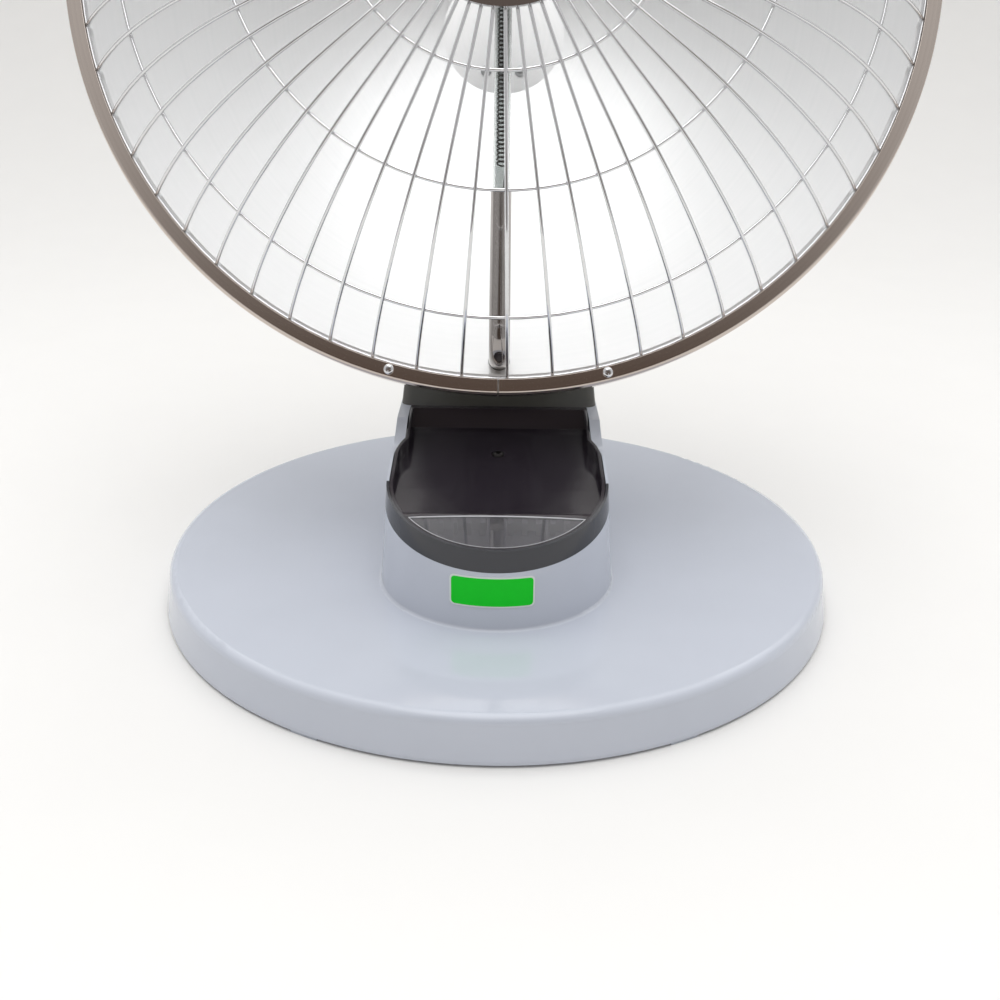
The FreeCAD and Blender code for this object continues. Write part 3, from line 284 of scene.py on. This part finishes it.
CROSS_WIDTH = 0.26        # shares of the head's radius and height
CROSS_REACH = 0.62
CROSS_DEPTH = 0.6
CROSS_TAPER = 0.45
HEAD_ROUND = 0.9
HEAD_SIDES = 32


def pan_screw(head_radius, head_height, shank_radius, shank_length):
    """Pan-head screw standing on the origin; two tapered blades cut the cross in its head."""
    bpy.ops.mesh.primitive_cylinder_add(vertices=HEAD_SIDES, radius=head_radius, depth=head_height,
                                        location=(0, 0, head_height / 2))
    screw = bpy.context.object
    bpy.ops.object.transform_apply(location=True, rotation=True, scale=True)
    select_parts(screw, "FACE", lambda p: p.z < 1e-6)
    bpy.ops.mesh.inset(thickness=head_radius - shank_radius)
    bpy.ops.mesh.extrude_region_move(TRANSFORM_OT_translate={"value": (0, 0, -shank_length)})
    select_parts(screw, "EDGE", lambda p: p.z > head_height * 0.99)
    bpy.ops.mesh.bevel(offset=HEAD_ROUND * head_height, segments=4, affect="EDGES")
    bpy.ops.object.mode_set(mode="OBJECT")
    for turn in (0, math.pi / 2):
        bpy.ops.mesh.primitive_cube_add(size=2, location=(0, 0, head_height), rotation=(0, 0, turn),
                                        scale=(CROSS_REACH * head_radius, CROSS_WIDTH / 2 * head_radius,
                                               CROSS_DEPTH * head_height))
        blade = bpy.context.object
        bpy.ops.object.transform_apply(location=True, rotation=True, scale=True)
        select_parts(blade, "FACE", lambda p: p.z < head_height * (1 - CROSS_DEPTH) + 1e-6)
        bpy.ops.transform.resize(value=(CROSS_TAPER, CROSS_TAPER, 1), center_override=(0, 0, 0))
        bpy.ops.object.mode_set(mode="OBJECT")
        combine(screw, blade, "DIFFERENCE")
    return screw


CREASE = math.radians(40)


def place_copies(model, name, places):
    """Copies of a finished model, each with its own mesh, joined as one piece."""
    bpy.ops.object.select_all(action="DESELECT")
    for place in places:
        copy = model.copy()
        copy.data = model.data.copy()
        bpy.context.collection.objects.link(copy)
        copy.matrix_world = place
        copy.select_set(True)
        bpy.context.view_layer.objects.active = copy
    bpy.ops.object.transform_apply(location=True, rotation=True, scale=True)
    if len(places) > 1:
        bpy.ops.object.join()
    made = bpy.context.object
    made.name = name
    bpy.data.objects.remove(model)
    bpy.ops.object.shade_smooth_by_angle(angle=CREASE)
    return made


def drawn_steel(name, colours, roughness, line_mm):
    """Drawn or turned steel: bright, with fine uneven lines in its shine."""
    made, tree, shader, where = new_material(name, Metallic=1.0)
    lines = add_node(tree, "ShaderNodeTexNoise", {"Vector": where, "Scale": 1 / (line_mm * MM), "Detail": 4})
    finish_surface(tree, shader, lines.outputs["Fac"], colours, roughness, 0.003 * MM)
    return made


# Zinc plate on steel: soft and a little cloudy.
zinc_steel = drawn_steel("zinc_plated_steel", ("#b9bbbd", "#a2a3a4"), (0.22, 0.4), 2.5)
# Black oxide on a steel screw: dark, with a weak shine.
black_oxide = drawn_steel("black_oxide_steel", ("#3a3838", "#2b2a2a"), (0.3, 0.45), 1.5)
SCREW_SHANK = 1.5 * MM
SCREW_HEAD = 2.9 * MM
SCREW_RISE = 1.8 * MM
cover_low, cover_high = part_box("cover_screw")
cover_seat = Vector((0, (cover_low.y + cover_high.y) / 2, cover_high.z - SCREW_RISE))
cover_screw = pan_screw(SCREW_HEAD, SCREW_RISE, SCREW_SHANK, cover_seat.z - cover_low.z)
cover_screw = place_copies(cover_screw, "cover_screw_cross", [Matrix.Translation(cover_seat)])
cover_screw.data.materials.append(black_oxide)
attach(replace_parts(cover_screw, "cover_screw"), "stand")


# Window: a smoked clear crescent over a grey ribbed tray with a row of small light
# wells. The lens is moulded acrylic, so the ribs show through it.
def clear_material(name, colours, roughness, ior, clearness, haze_mm):
    """See-through moulding or glass with a faint unevenness in its tint and gloss."""
    made, tree, shader, where = new_material(name, IOR=ior, Transmission_Weight=clearness)
    haze = add_node(tree, "ShaderNodeTexNoise", {"Vector": where, "Scale": 1 / (haze_mm * MM), "Detail": 2})
    finish_surface(tree, shader, haze.outputs["Fac"], colours, roughness, 0.001 * MM)
    return made


# Smoked acrylic: dims what lies under it and has a hard shine.
dress(clear_material("smoked_acrylic", ("#b5b4ba", "#c2c1c6"), (0.02, 0.05), 1.49, 0.9, 14), "window_lens")
LENS_ROUND = 0.55 * MM
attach(softened("window_lens", LENS_ROUND), "stand")
BEAD_RADIUS = 0.35 * MM
TOP_FACE = 0.7                           # least upward part of a top face's normal


def outline_bead(name, made_name, radius):
    """Round bead along the outline of a CAD piece's top face."""
    bead = merged_copy(name, made_name, "FACE")
    bpy.ops.object.mode_set(mode="OBJECT")
    for face in bead.data.polygons:
        face.select = face.normal.z > TOP_FACE
    bpy.ops.object.mode_set(mode="EDIT")
    bpy.ops.mesh.region_to_loop()
    bpy.ops.mesh.select_all(action="INVERT")
    bpy.ops.mesh.delete(type="EDGE")
    bpy.ops.object.mode_set(mode="OBJECT")
    bpy.ops.object.convert(target="CURVE")
    bead.data.bevel_depth = radius
    bead.data.bevel_resolution = 2
    bpy.ops.object.convert(target="MESH")
    bpy.ops.object.shade_smooth()
    return bead


bead = outline_bead("window_lens", "painted_highlight_bead", BEAD_RADIUS)
bead.data.materials.clear()
# Painted highlight: an opaque pale bead along the lens's top outline stands in for the light its clear
# rounded lip gathers.
bead.data.materials.append(moulded("painted_lip_highlight", ("#d6d6da", "#c9c9ce"), (0.05, 0.1), 10, 0.002))
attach(bead, "stand")
# Tray moulding: a plain grey that dulls the light in the wells.
dress(moulded("grey_tray_abs", ("#8e8e93", "#818187"), (0.3, 0.45), 6, 0.02), "light_tray")


# Neck: two black half shells that lean back behind the dish, parted along their lean,
# round a steel post that runs from the base up to the friction hinge.
# ABS with a duller polish: a soft dark sheen.
neck_abs = moulded("neck_black_abs", ("#484743", "#4e4d48"), (0.2, 0.3), 12, 0.02)
# Glass-filled nylon: off-white and waxy.
nylon = moulded("white_nylon", ("#cfcdc6", "#c4c2ba"), (0.4, 0.5), 3, 0.02)
dress(neck_abs, "neck_front", "neck_rear")
NECK_ROUND = 0.8 * MM
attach(softened("neck_front", NECK_ROUND), "stand")
dress(zinc_steel, "neck_post", "hinge_bolt", "hinge_nut", "base_screws", "housing_studs", "holder_collars",
      "switch_shaft")
dress(black_enamel, "hinge_knuckle", "head_bracket")
dress(nylon, "hinge_washers")


# Control and inlet: a knob with a notched grip on the back of the tower, the switch
# behind it, the tip-over plunger under the base, connector blocks and the lead's gland.
# Spark-eroded mould: fine even matt black.
matt_black = moulded("matt_black_pbt", ("#1a1a1b", "#262626"), (0.42, 0.58), 0.9, 0.03)
# Pressed resin: ivory, faintly mottled.
ivory_resin = moulded("ivory_resin", ("#cbc6b6", "#bdb7a6"), (0.35, 0.5), 4, 0.02)
dress(matt_black, "control_knob", "tip_plunger", "cord_gland", "rotary_switch", "tip_switch", "rear_housing",
      "thermal_cutout")
dress(ivory_resin, "mains_terminal", "heat_terminal", "tube_plugs")


# Reflector: a bowl spun from aluminium sheet and polished to a satin. Spinning leaves
# very fine rings about the dish's axis, which soften what it mirrors.
DISH_TILT = math.radians(22.3)
HOOP_RISE = 1.2 * MM                     # hoop in front of the rim plane
hoop_low, hoop_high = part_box("guard_hoop")
head_turn = Matrix.Rotation(math.pi / 2 - DISH_TILT, 4, "X")
rim_centre = (hoop_low + hoop_high) / 2 - head_turn @ Vector((0, 0, HOOP_RISE))
head_place = Matrix.Translation(rim_centre) @ head_turn


def spun_metal(name, colours, roughness, ring_mm, ring_depth_mm):
    """Metal with fine rings about the dish's axis, by the distance from that axis."""
    made, tree, shader, where = new_material(name, Metallic=1.0)
    centred = add_node(tree, "ShaderNodeVectorMath", {0: where, 1: rim_centre}, operation="SUBTRACT")
    level = add_node(tree, "ShaderNodeMapping", {"Vector": centred.outputs["Vector"],
                                                 "Rotation": (DISH_TILT - math.pi / 2, 0, 0)})
    split = add_node(tree, "ShaderNodeSeparateXYZ", {"Vector": level.outputs["Vector"]})
    flat = add_node(tree, "ShaderNodeCombineXYZ", {"X": split.outputs["X"], "Y": split.outputs["Y"]})
    radius = add_node(tree, "ShaderNodeVectorMath", {0: flat.outputs["Vector"]}, operation="LENGTH")
    rings = add_node(tree, "ShaderNodeTexNoise", {"W": radius.outputs["Value"], "Scale": 1 / (ring_mm * MM),
                                                  "Detail": 3}, noise_dimensions="1D")
    finish_surface(tree, shader, rings.outputs["Fac"], colours, roughness, ring_depth_mm * MM)
    return made


# Satin aluminium: nearly white, with soft wide reflections.
dress(spun_metal("satin_aluminium", ("#fbfbfb", "#f5f6f6"), (0.34, 0.42), 1.6, 0.002), "reflector")


# Rim band: a strip of bright-plated steel rolled to a U round the bowl's edge, open at
# one seam at the bottom, and held by small cross-head screws.
RIM_RADIUS = 198.4 * MM
RIM_FACE = 3.3 * MM                      # front of the band before the rim plane
RIM_WIDTH = 7.1 * MM
RIM_DEPTH = 9.6 * MM
RIM_LIP = 4.0 * MM
RIM_SHEET = 0.9 * MM
RIM_ROUND = 2.0 * MM
RIM_EDGE = 0.2 * MM
RIM_SHARP = math.radians(60)
RIM_GAP = math.degrees(0.5 * MM / RIM_RADIUS)
RIM_STEPS = 240
RIM_ROUND_STEPS = 8
RIM_SCREW_CIRCLE = 194.0 * MM
RIM_SCREW_HEAD = 2.45 * MM
RIM_SCREW_RISE = 1.5 * MM
RIM_SCREW_SHANK = 1.2 * MM
RIM_SCREW_LENGTH = 7.3 * MM
RIM_SEAM = -90.1                         # degrees round the dish
RIM_SCREW_SPREAD = 14.8
RIM_SCREW_TURNS = (RIM_SEAM - RIM_SCREW_SPREAD, RIM_SEAM + RIM_SCREW_SPREAD,
                   90 - RIM_SCREW_SPREAD, 90 + RIM_SCREW_SPREAD)


def round_dish(turn, radius, height):
    """Place at a turn round the dish, at a radius and a height above the rim plane."""
    return (head_place @ Matrix.Rotation(math.radians(turn), 4, "Z")
            @ Matrix.Translation((radius, 0, height)))


def rolled_band():
    """Sheet strip of U section about the dish's axis, open at its seam, made on the middle of its sheet."""
    wall = RIM_RADIUS - RIM_SHEET / 2
    front = RIM_FACE - RIM_SHEET / 2
    back = RIM_FACE - RIM_DEPTH + RIM_SHEET / 2
    inner = RIM_RADIUS - RIM_WIDTH
    bpy.ops.mesh.primitive_plane_add(size=2)
    band = bpy.context.object
    band.matrix_world = (Matrix.Translation(((inner + wall) / 2, 0, (front + back) / 2))
                         @ Matrix.Rotation(math.pi / 2, 4, "X")
                         @ Matrix.Diagonal(((wall - inner) / 2, (front - back) / 2, 1, 1)))
    bpy.ops.object.transform_apply(location=True, rotation=True, scale=True)
    select_parts(band, "EDGE", lambda p: p.x < inner + 1e-6)
    bpy.ops.mesh.delete(type="EDGE")
    select_parts(band, "VERT", lambda p: p.x < inner + 1e-6 and p.z < back + 1e-6)
    bpy.ops.transform.translate(value=(RIM_WIDTH - RIM_LIP, 0, 0))
    select_parts(band, "VERT", lambda p: p.x > wall - 1e-6 and p.z > front - 1e-6)
    bpy.ops.mesh.bevel(offset=RIM_ROUND - RIM_SHEET / 2, segments=RIM_ROUND_STEPS, affect="VERTICES")
    bpy.ops.mesh.select_all(action="SELECT")
    bpy.ops.mesh.spin(steps=RIM_STEPS, angle=math.radians(360 - RIM_GAP), center=(0, 0, 0), axis=(0, 0, -1))
    close_up(band)
    sheet = band.modifiers.new("sheet", "SOLIDIFY")
    sheet.thickness = RIM_SHEET
    sheet.offset = 0
    sheet.use_even_offset = True
    bpy.ops.object.modifier_apply(modifier=sheet.name)
    bpy.ops.object.mode_set(mode="EDIT")
    bpy.ops.mesh.select_mode(type="EDGE")
    bpy.ops.mesh.select_all(action="DESELECT")
    bpy.ops.mesh.edges_select_sharp(sharpness=RIM_SHARP)
    bpy.ops.mesh.bevel(offset=RIM_EDGE, segments=2, affect="EDGES")
    bpy.ops.object.mode_set(mode="OBJECT")
    return band


rim_band = place_copies(rolled_band(), "rim_band_rolled", [round_dish(RIM_SEAM + RIM_GAP / 2, 0, 0)])
even_normals(rim_band)
# Bright plate on rolled steel: a warm grey mirror, dark where it faces the dim side of the room.
rim_band.data.materials.append(
    spun_metal("bright_plated_band", ("#d0c4bb", "#c1b6ae"), (0.1, 0.16), 2.0, 0.001))
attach(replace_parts(rim_band, "rim_band"), "head")
# Decorative chrome: nearly white metal that mirrors the room.
chrome = drawn_steel("bright_chrome", ("#dededf", "#d6d6d8"), (0.05, 0.1), 8)
rim_screws = pan_screw(RIM_SCREW_HEAD, RIM_SCREW_RISE, RIM_SCREW_SHANK, RIM_SCREW_LENGTH)
rim_screws = place_copies(rim_screws, "rim_screws_cross",
                          [round_dish(t, RIM_SCREW_CIRCLE, RIM_FACE) for t in RIM_SCREW_TURNS])
rim_screws.data.materials.append(chrome)
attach(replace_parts(rim_screws, "rim_screws"), "head")


# Wire guard: round wires bent from a pressed cap in the middle to a hoop inside the rim,
# spot-welded on three rings and a hub ring, and chromed after welding.
WIRE_COUNT = 58
WIRE_TURN = 1.1 - 90                     # degrees round the dish
WIRE_RADIUS = 0.8 * MM
WIRE_SIDES = 10
WIRE_START = 40.0 * MM
WIRE_END = Vector((190.38, 0, 2.15)) * MM
GUARD_HEIGHT = 52.0 * MM
GUARD_BEND = 113.0 * MM
BEND_STEPS = 14
HOOP_CIRCLE = 191.0 * MM
HOOP_RADIUS = 1.0 * MM
RING_CIRCLES = (168 * MM, 118.3 * MM, 70 * MM)
HUB_CIRCLE = 41.6 * MM
RING_DROP = 1.7 * MM                     # rings under the wires, middle to middle
RING_STEPS = 120
WELD_RADIUS = 0.85 * MM
WELD_SPREAD = (1.25, 1.1, 1)
WELD_SIDES = 8
WELD_RINGS = 5

bend_level = GUARD_HEIGHT - GUARD_BEND
bend_start = WIRE_END.x - math.sqrt(GUARD_BEND ** 2 - (WIRE_END.z - bend_level) ** 2)
bend_turn = math.acos((WIRE_END.z - bend_level) / GUARD_BEND)


def on_guard(circle, drop):
    """Point under the guard's dome where a wire crosses a circle, lowered square to the wire."""
    turn = math.asin(max(circle - bend_start, 0) / GUARD_BEND)
    depth = GUARD_BEND - drop
    return Vector((min(circle, bend_start) + depth * math.sin(turn), 0, bend_level + depth * math.cos(turn)))


def wire_section(radius, middle, turn):
    """Filled circle in edit mode, the start of a wire."""
    bpy.ops.mesh.primitive_circle_add(vertices=WIRE_SIDES, radius=radius, location=middle, rotation=turn,
                                      fill_type="NGON")
    bpy.ops.object.transform_apply(location=True, rotation=True, scale=True)
    bpy.ops.object.mode_set(mode="EDIT")
    bpy.ops.mesh.select_all(action="SELECT")
    return bpy.context.object


def bent_wire():
    """One radial wire with a flattened weld where it meets each ring and the hoop."""
    wire = wire_section(WIRE_RADIUS, (WIRE_START, 0, GUARD_HEIGHT), (0, math.pi / 2, 0))
    bpy.ops.mesh.extrude_region_move(TRANSFORM_OT_translate={"value": (bend_start - WIRE_START, 0, 0)})
    bpy.ops.mesh.spin(steps=BEND_STEPS, angle=bend_turn, center=(bend_start, 0, bend_level), axis=(0, -1, 0))
    close_up(wire)
    welds = [on_guard(circle, RING_DROP / 2) for circle in RING_CIRCLES + (HUB_CIRCLE,)]
    welds.append((WIRE_END + Vector((HOOP_CIRCLE, 0, HOOP_RISE))) / 2)
    for weld in welds:
        bpy.ops.mesh.primitive_uv_sphere_add(segments=WELD_SIDES, ring_count=WELD_RINGS, radius=WELD_RADIUS,
                                             location=weld, scale=WELD_SPREAD)
        wire.select_set(True)
        bpy.context.view_layer.objects.active = wire
        bpy.ops.object.join()
    return wire


def ring_wire(radius, middle):
    """Closed ring of wire about the dish's axis."""
    ring = wire_section(radius, middle, (math.pi / 2, 0, 0))
    bpy.ops.mesh.delete(type="ONLY_FACE")
    bpy.ops.mesh.select_all(action="SELECT")
    bpy.ops.mesh.spin(steps=RING_STEPS, angle=2 * math.pi, center=(0, 0, 0), axis=(0, 0, 1))
    return close_up(ring)


wire_places = [round_dish(WIRE_TURN + 360 * i / WIRE_COUNT, 0, 0) for i in range(WIRE_COUNT)]
guard_wires = place_copies(bent_wire(), "guard_wires_round", wire_places)
guard_wires.data.materials.append(chrome)
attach(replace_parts(guard_wires, "guard_wires"), "head")
for index, circle in enumerate(RING_CIRCLES + (HUB_CIRCLE,)):
    ring = ring_wire(WIRE_RADIUS, on_guard(circle, RING_DROP))
    ring = place_copies(ring, f"guard_ring_{index + 1}", [head_place])
    ring.data.materials.append(chrome)
    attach(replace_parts(ring, "guard_rings"), "head")
hoop = place_copies(ring_wire(HOOP_RADIUS, (HOOP_CIRCLE, 0, HOOP_RISE)), "guard_hoop_round", [head_place])
hoop.data.materials.append(chrome)
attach(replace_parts(hoop, "guard_hoop"), "head")
dress(chrome, "guard_cap")


# Heating tube: a clear quartz tube with a coiled wire inside, held in the mouths of two
# chromed holders that bend back through the bowl.
TUBE_FORWARD = 8.5 * MM
COIL_RADIUS = 2.0 * MM
COIL_WIRE = 0.4 * MM
COIL_PITCH = 1.9 * MM
COIL_HALF = 97.0 * MM
LEAD_HALF = 120.0 * MM                   # end of the straight leads beyond the coil
COIL_STEPS = 14
COIL_SIDES = 6
# Chrome of the holder tubes, darker than the wires' chrome: painted shade standing in for the dark
# reflections on the tubes.
shaded_chrome_tube = drawn_steel("chrome_with_painted_shade", ("#a5a09d", "#938e8b"), (0.06, 0.12), 8)
dress(shaded_chrome_tube, "lower_holder", "upper_holder")
# Quartz glass: a faint grey tube with the coil showing through.
dress(clear_material("clear_quartz", ("#c4c7c6", "#babdbc"), (0.01, 0.03), 1.46, 1.0, 8), "quartz_tube")

bpy.ops.mesh.primitive_circle_add(vertices=COIL_SIDES, radius=COIL_WIRE, location=(COIL_RADIUS, 0, 0),
                                  rotation=(math.pi / 2, 0, 0))
bpy.ops.object.transform_apply(location=True, rotation=True, scale=True)
coil = bpy.context.object
winding = coil.modifiers.new("winding", "SCREW")
winding.axis = "Z"
winding.screw_offset = COIL_PITCH
winding.iterations = round(2 * COIL_HALF / COIL_PITCH)
winding.steps = COIL_STEPS
winding.render_steps = COIL_STEPS
bpy.ops.object.modifier_apply(modifier=winding.name)
bpy.ops.object.mode_set(mode="EDIT")
bpy.ops.mesh.select_all(action="SELECT")
bpy.ops.mesh.fill_holes(sides=COIL_SIDES)
close_up(coil)
for end, reach in ((0, COIL_HALF - LEAD_HALF), (2 * COIL_HALF, LEAD_HALF - COIL_HALF)):
    lead = wire_section(COIL_WIRE, (COIL_RADIUS, 0, end), (0, 0, 0))
    bpy.ops.mesh.extrude_region_move(TRANSFORM_OT_translate={"value": (-COIL_RADIUS, 0, reach)})
    close_up(lead)
    coil.select_set(True)
    bpy.context.view_layer.objects.active = coil
    bpy.ops.object.join()
coil_place = (head_place @ Matrix.Translation((0, -COIL_HALF, TUBE_FORWARD))
              @ Matrix.Rotation(-math.pi / 2, 4, "X"))
coil = place_copies(coil, "heating_coil", [coil_place])
# Resistance wire after its first heat: grey-brown oxide.
coil.data.materials.append(drawn_steel("oxidised_resistance_wire", ("#6d645c", "#574f49"), (0.4, 0.55), 1.2))
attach(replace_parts(coil, "filament"), "head")


# Bracket and rear case: four screws through the bowl's flat middle hold the bracket, and
# two more hold the matt black case to studs on it.
BRACKET_SCREWS = [(x * MM, y * MM) for x in (-9, 9) for y in (-20, 20)]
BRACKET_SCREW_LENGTH = 9.3 * MM
BOWL_FLOOR = -87.42 * MM
CASE_SCREWS = [(0, y * MM) for y in (-20, 20)]
CASE_SCREW_LENGTH = 14.0 * MM
CASE_BACK = -140.42 * MM
bracket_screws = pan_screw(SCREW_HEAD, SCREW_RISE, SCREW_SHANK, BRACKET_SCREW_LENGTH)
bracket_places = [head_place @ Matrix.Translation((x, y, BOWL_FLOOR)) for x, y in BRACKET_SCREWS]
bracket_screws = place_copies(bracket_screws, "bracket_screws_cross", bracket_places)
bracket_screws.data.materials.append(zinc_steel)
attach(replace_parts(bracket_screws, "bracket_screws"), "head")
case_screws = pan_screw(SCREW_HEAD, SCREW_RISE, SCREW_SHANK, CASE_SCREW_LENGTH)
facing_back = Matrix.Rotation(math.pi, 4, "X")
case_places = [head_place @ Matrix.Translation((x, y, CASE_BACK)) @ facing_back for x, y in CASE_SCREWS]
case_screws = place_copies(case_screws, "case_screws_cross", case_places)
case_screws.data.materials.append(black_oxide)
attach(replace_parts(case_screws, "housing_screws"), "head")


# Studio: a pale paper sweep that runs from the floor up behind the object, and a white
# tent round it, lit most from above the sweep and open to a dim room at the front.
SWEEP_FRONT = 2.5
SWEEP_BACK = 2.3
SWEEP_HALF = 4.0
SWEEP_RISE = 1.9
SWEEP_BEND = 1.7
bpy.ops.mesh.primitive_plane_add(size=2, location=(0, (SWEEP_BACK - SWEEP_FRONT) / 2, 0))
sweep = bpy.context.object
sweep.scale = (SWEEP_HALF, (SWEEP_FRONT + SWEEP_BACK) / 2, 1)
sweep.name = "paper_sweep"
bpy.ops.object.transform_apply(location=True, rotation=True, scale=True)
select_parts(sweep, "EDGE", lambda p: p.y > SWEEP_BACK - 0.01)
bpy.ops.mesh.extrude_region_move(TRANSFORM_OT_translate={"value": (0, 0, SWEEP_RISE)})
select_parts(sweep, "EDGE", lambda p: p.y > SWEEP_BACK - 0.01 and abs(p.z) < 0.01 and abs(p.x) < 0.01)
bpy.ops.mesh.bevel(offset=SWEEP_BEND, segments=16, affect="EDGES")
bpy.ops.object.mode_set(mode="OBJECT")
bpy.ops.object.shade_smooth()
# Photographer's paper: white, with hardly any fibre to see.
paper, paper_tree, paper_shader, paper_where = new_material("pale_paper")
fibres = add_node(paper_tree, "ShaderNodeTexNoise", {"Vector": paper_where, "Scale": 1 / (60 * MM)})
finish_surface(paper_tree, paper_shader, fibres.outputs["Fac"], ("#ecebe9", "#eae9e7"), (0.55, 0.65), 0.0)
sweep.data.materials.append(paper)

CAMERA_PLACE = disc_middle + Vector((1.2, -495.99, 255.08)) * MM
CAMERA_DOWN = math.radians(23.487)
CAMERA_ROLL = math.radians(0.72)
LENS_MM = 39.6
SENSOR_MM = 36.0

TENT_OPENING = Vector((0, -0.97, 0.24))  # way to the middle of the tent's open front
OPENING_EDGES = (0.8, 0.98)              # cosines from that way where the opening begins and is full
OPENING_COLOUR = "#7d6f67"
TENT_BRIGHT = Vector((0, 0.5, 0.87))     # way to the middle of its lit panel
TENT_LEVEL = 0.64
PANEL_LEVEL = 1.8                        # more light from the panel
PANEL_EDGE = 4.0                         # the higher, the smaller the panel
LAMP_PLACE = Vector((0, -0.5, 1.7))
LAMP_SIZE = 1.4
LAMP_WATTS = 7
world = bpy.data.worlds.new("studio")
bpy.context.scene.world = world
world.use_nodes = True
sky = world.node_tree
look = add_node(sky, "ShaderNodeTexCoord", {}).outputs["Generated"]
facing = add_node(sky, "ShaderNodeVectorMath", {0: look, 1: TENT_OPENING}, operation="DOT_PRODUCT")
dim = add_node(sky, "ShaderNodeMapRange", {"Value": facing.outputs["Value"], "From Min": OPENING_EDGES[0],
                                           "From Max": OPENING_EDGES[1]}, interpolation_type="SMOOTHSTEP")
shade = add_node(sky, "ShaderNodeMix", {0: dim.outputs["Result"], 6: linear("#ffffff"),
                                        7: linear(OPENING_COLOUR)}, data_type="RGBA")
panel = add_node(sky, "ShaderNodeVectorMath", {0: look, 1: TENT_BRIGHT}, operation="DOT_PRODUCT")
ahead = add_node(sky, "ShaderNodeMath", {0: panel.outputs["Value"], 1: 0.0}, operation="MAXIMUM")
fall = add_node(sky, "ShaderNodeMath", {0: ahead.outputs["Value"], 1: PANEL_EDGE}, operation="POWER")
level = add_node(sky, "ShaderNodeMath", {0: fall.outputs["Value"], 1: PANEL_LEVEL, 2: TENT_LEVEL},
                 operation="MULTIPLY_ADD")
sky.links.new(shade.outputs[2], sky.nodes["Background"].inputs["Color"])
sky.links.new(level.outputs["Value"], sky.nodes["Background"].inputs["Strength"])

bpy.ops.object.light_add(type="AREA", location=LAMP_PLACE)
lamp = bpy.context.object
lamp.name = "top_box"
lamp.data.shape = "DISK"
lamp.data.size = LAMP_SIZE
lamp.data.energy = LAMP_WATTS
lamp.rotation_euler = (Vector((0, 0, 0.1)) - LAMP_PLACE).to_track_quat("-Z", "Y").to_euler()

bpy.ops.object.camera_add(location=CAMERA_PLACE)
camera = bpy.context.object
camera.data.sensor_width = SENSOR_MM
camera.data.lens = LENS_MM
camera.matrix_world = (Matrix.Translation(CAMERA_PLACE) @ Matrix.Rotation(math.pi / 2 - CAMERA_DOWN, 4, "X")
                       @ Matrix.Rotation(CAMERA_ROLL, 4, "Z"))
bpy.context.scene.camera = camera
bpy.context.scene.view_settings.view_transform = "Standard"
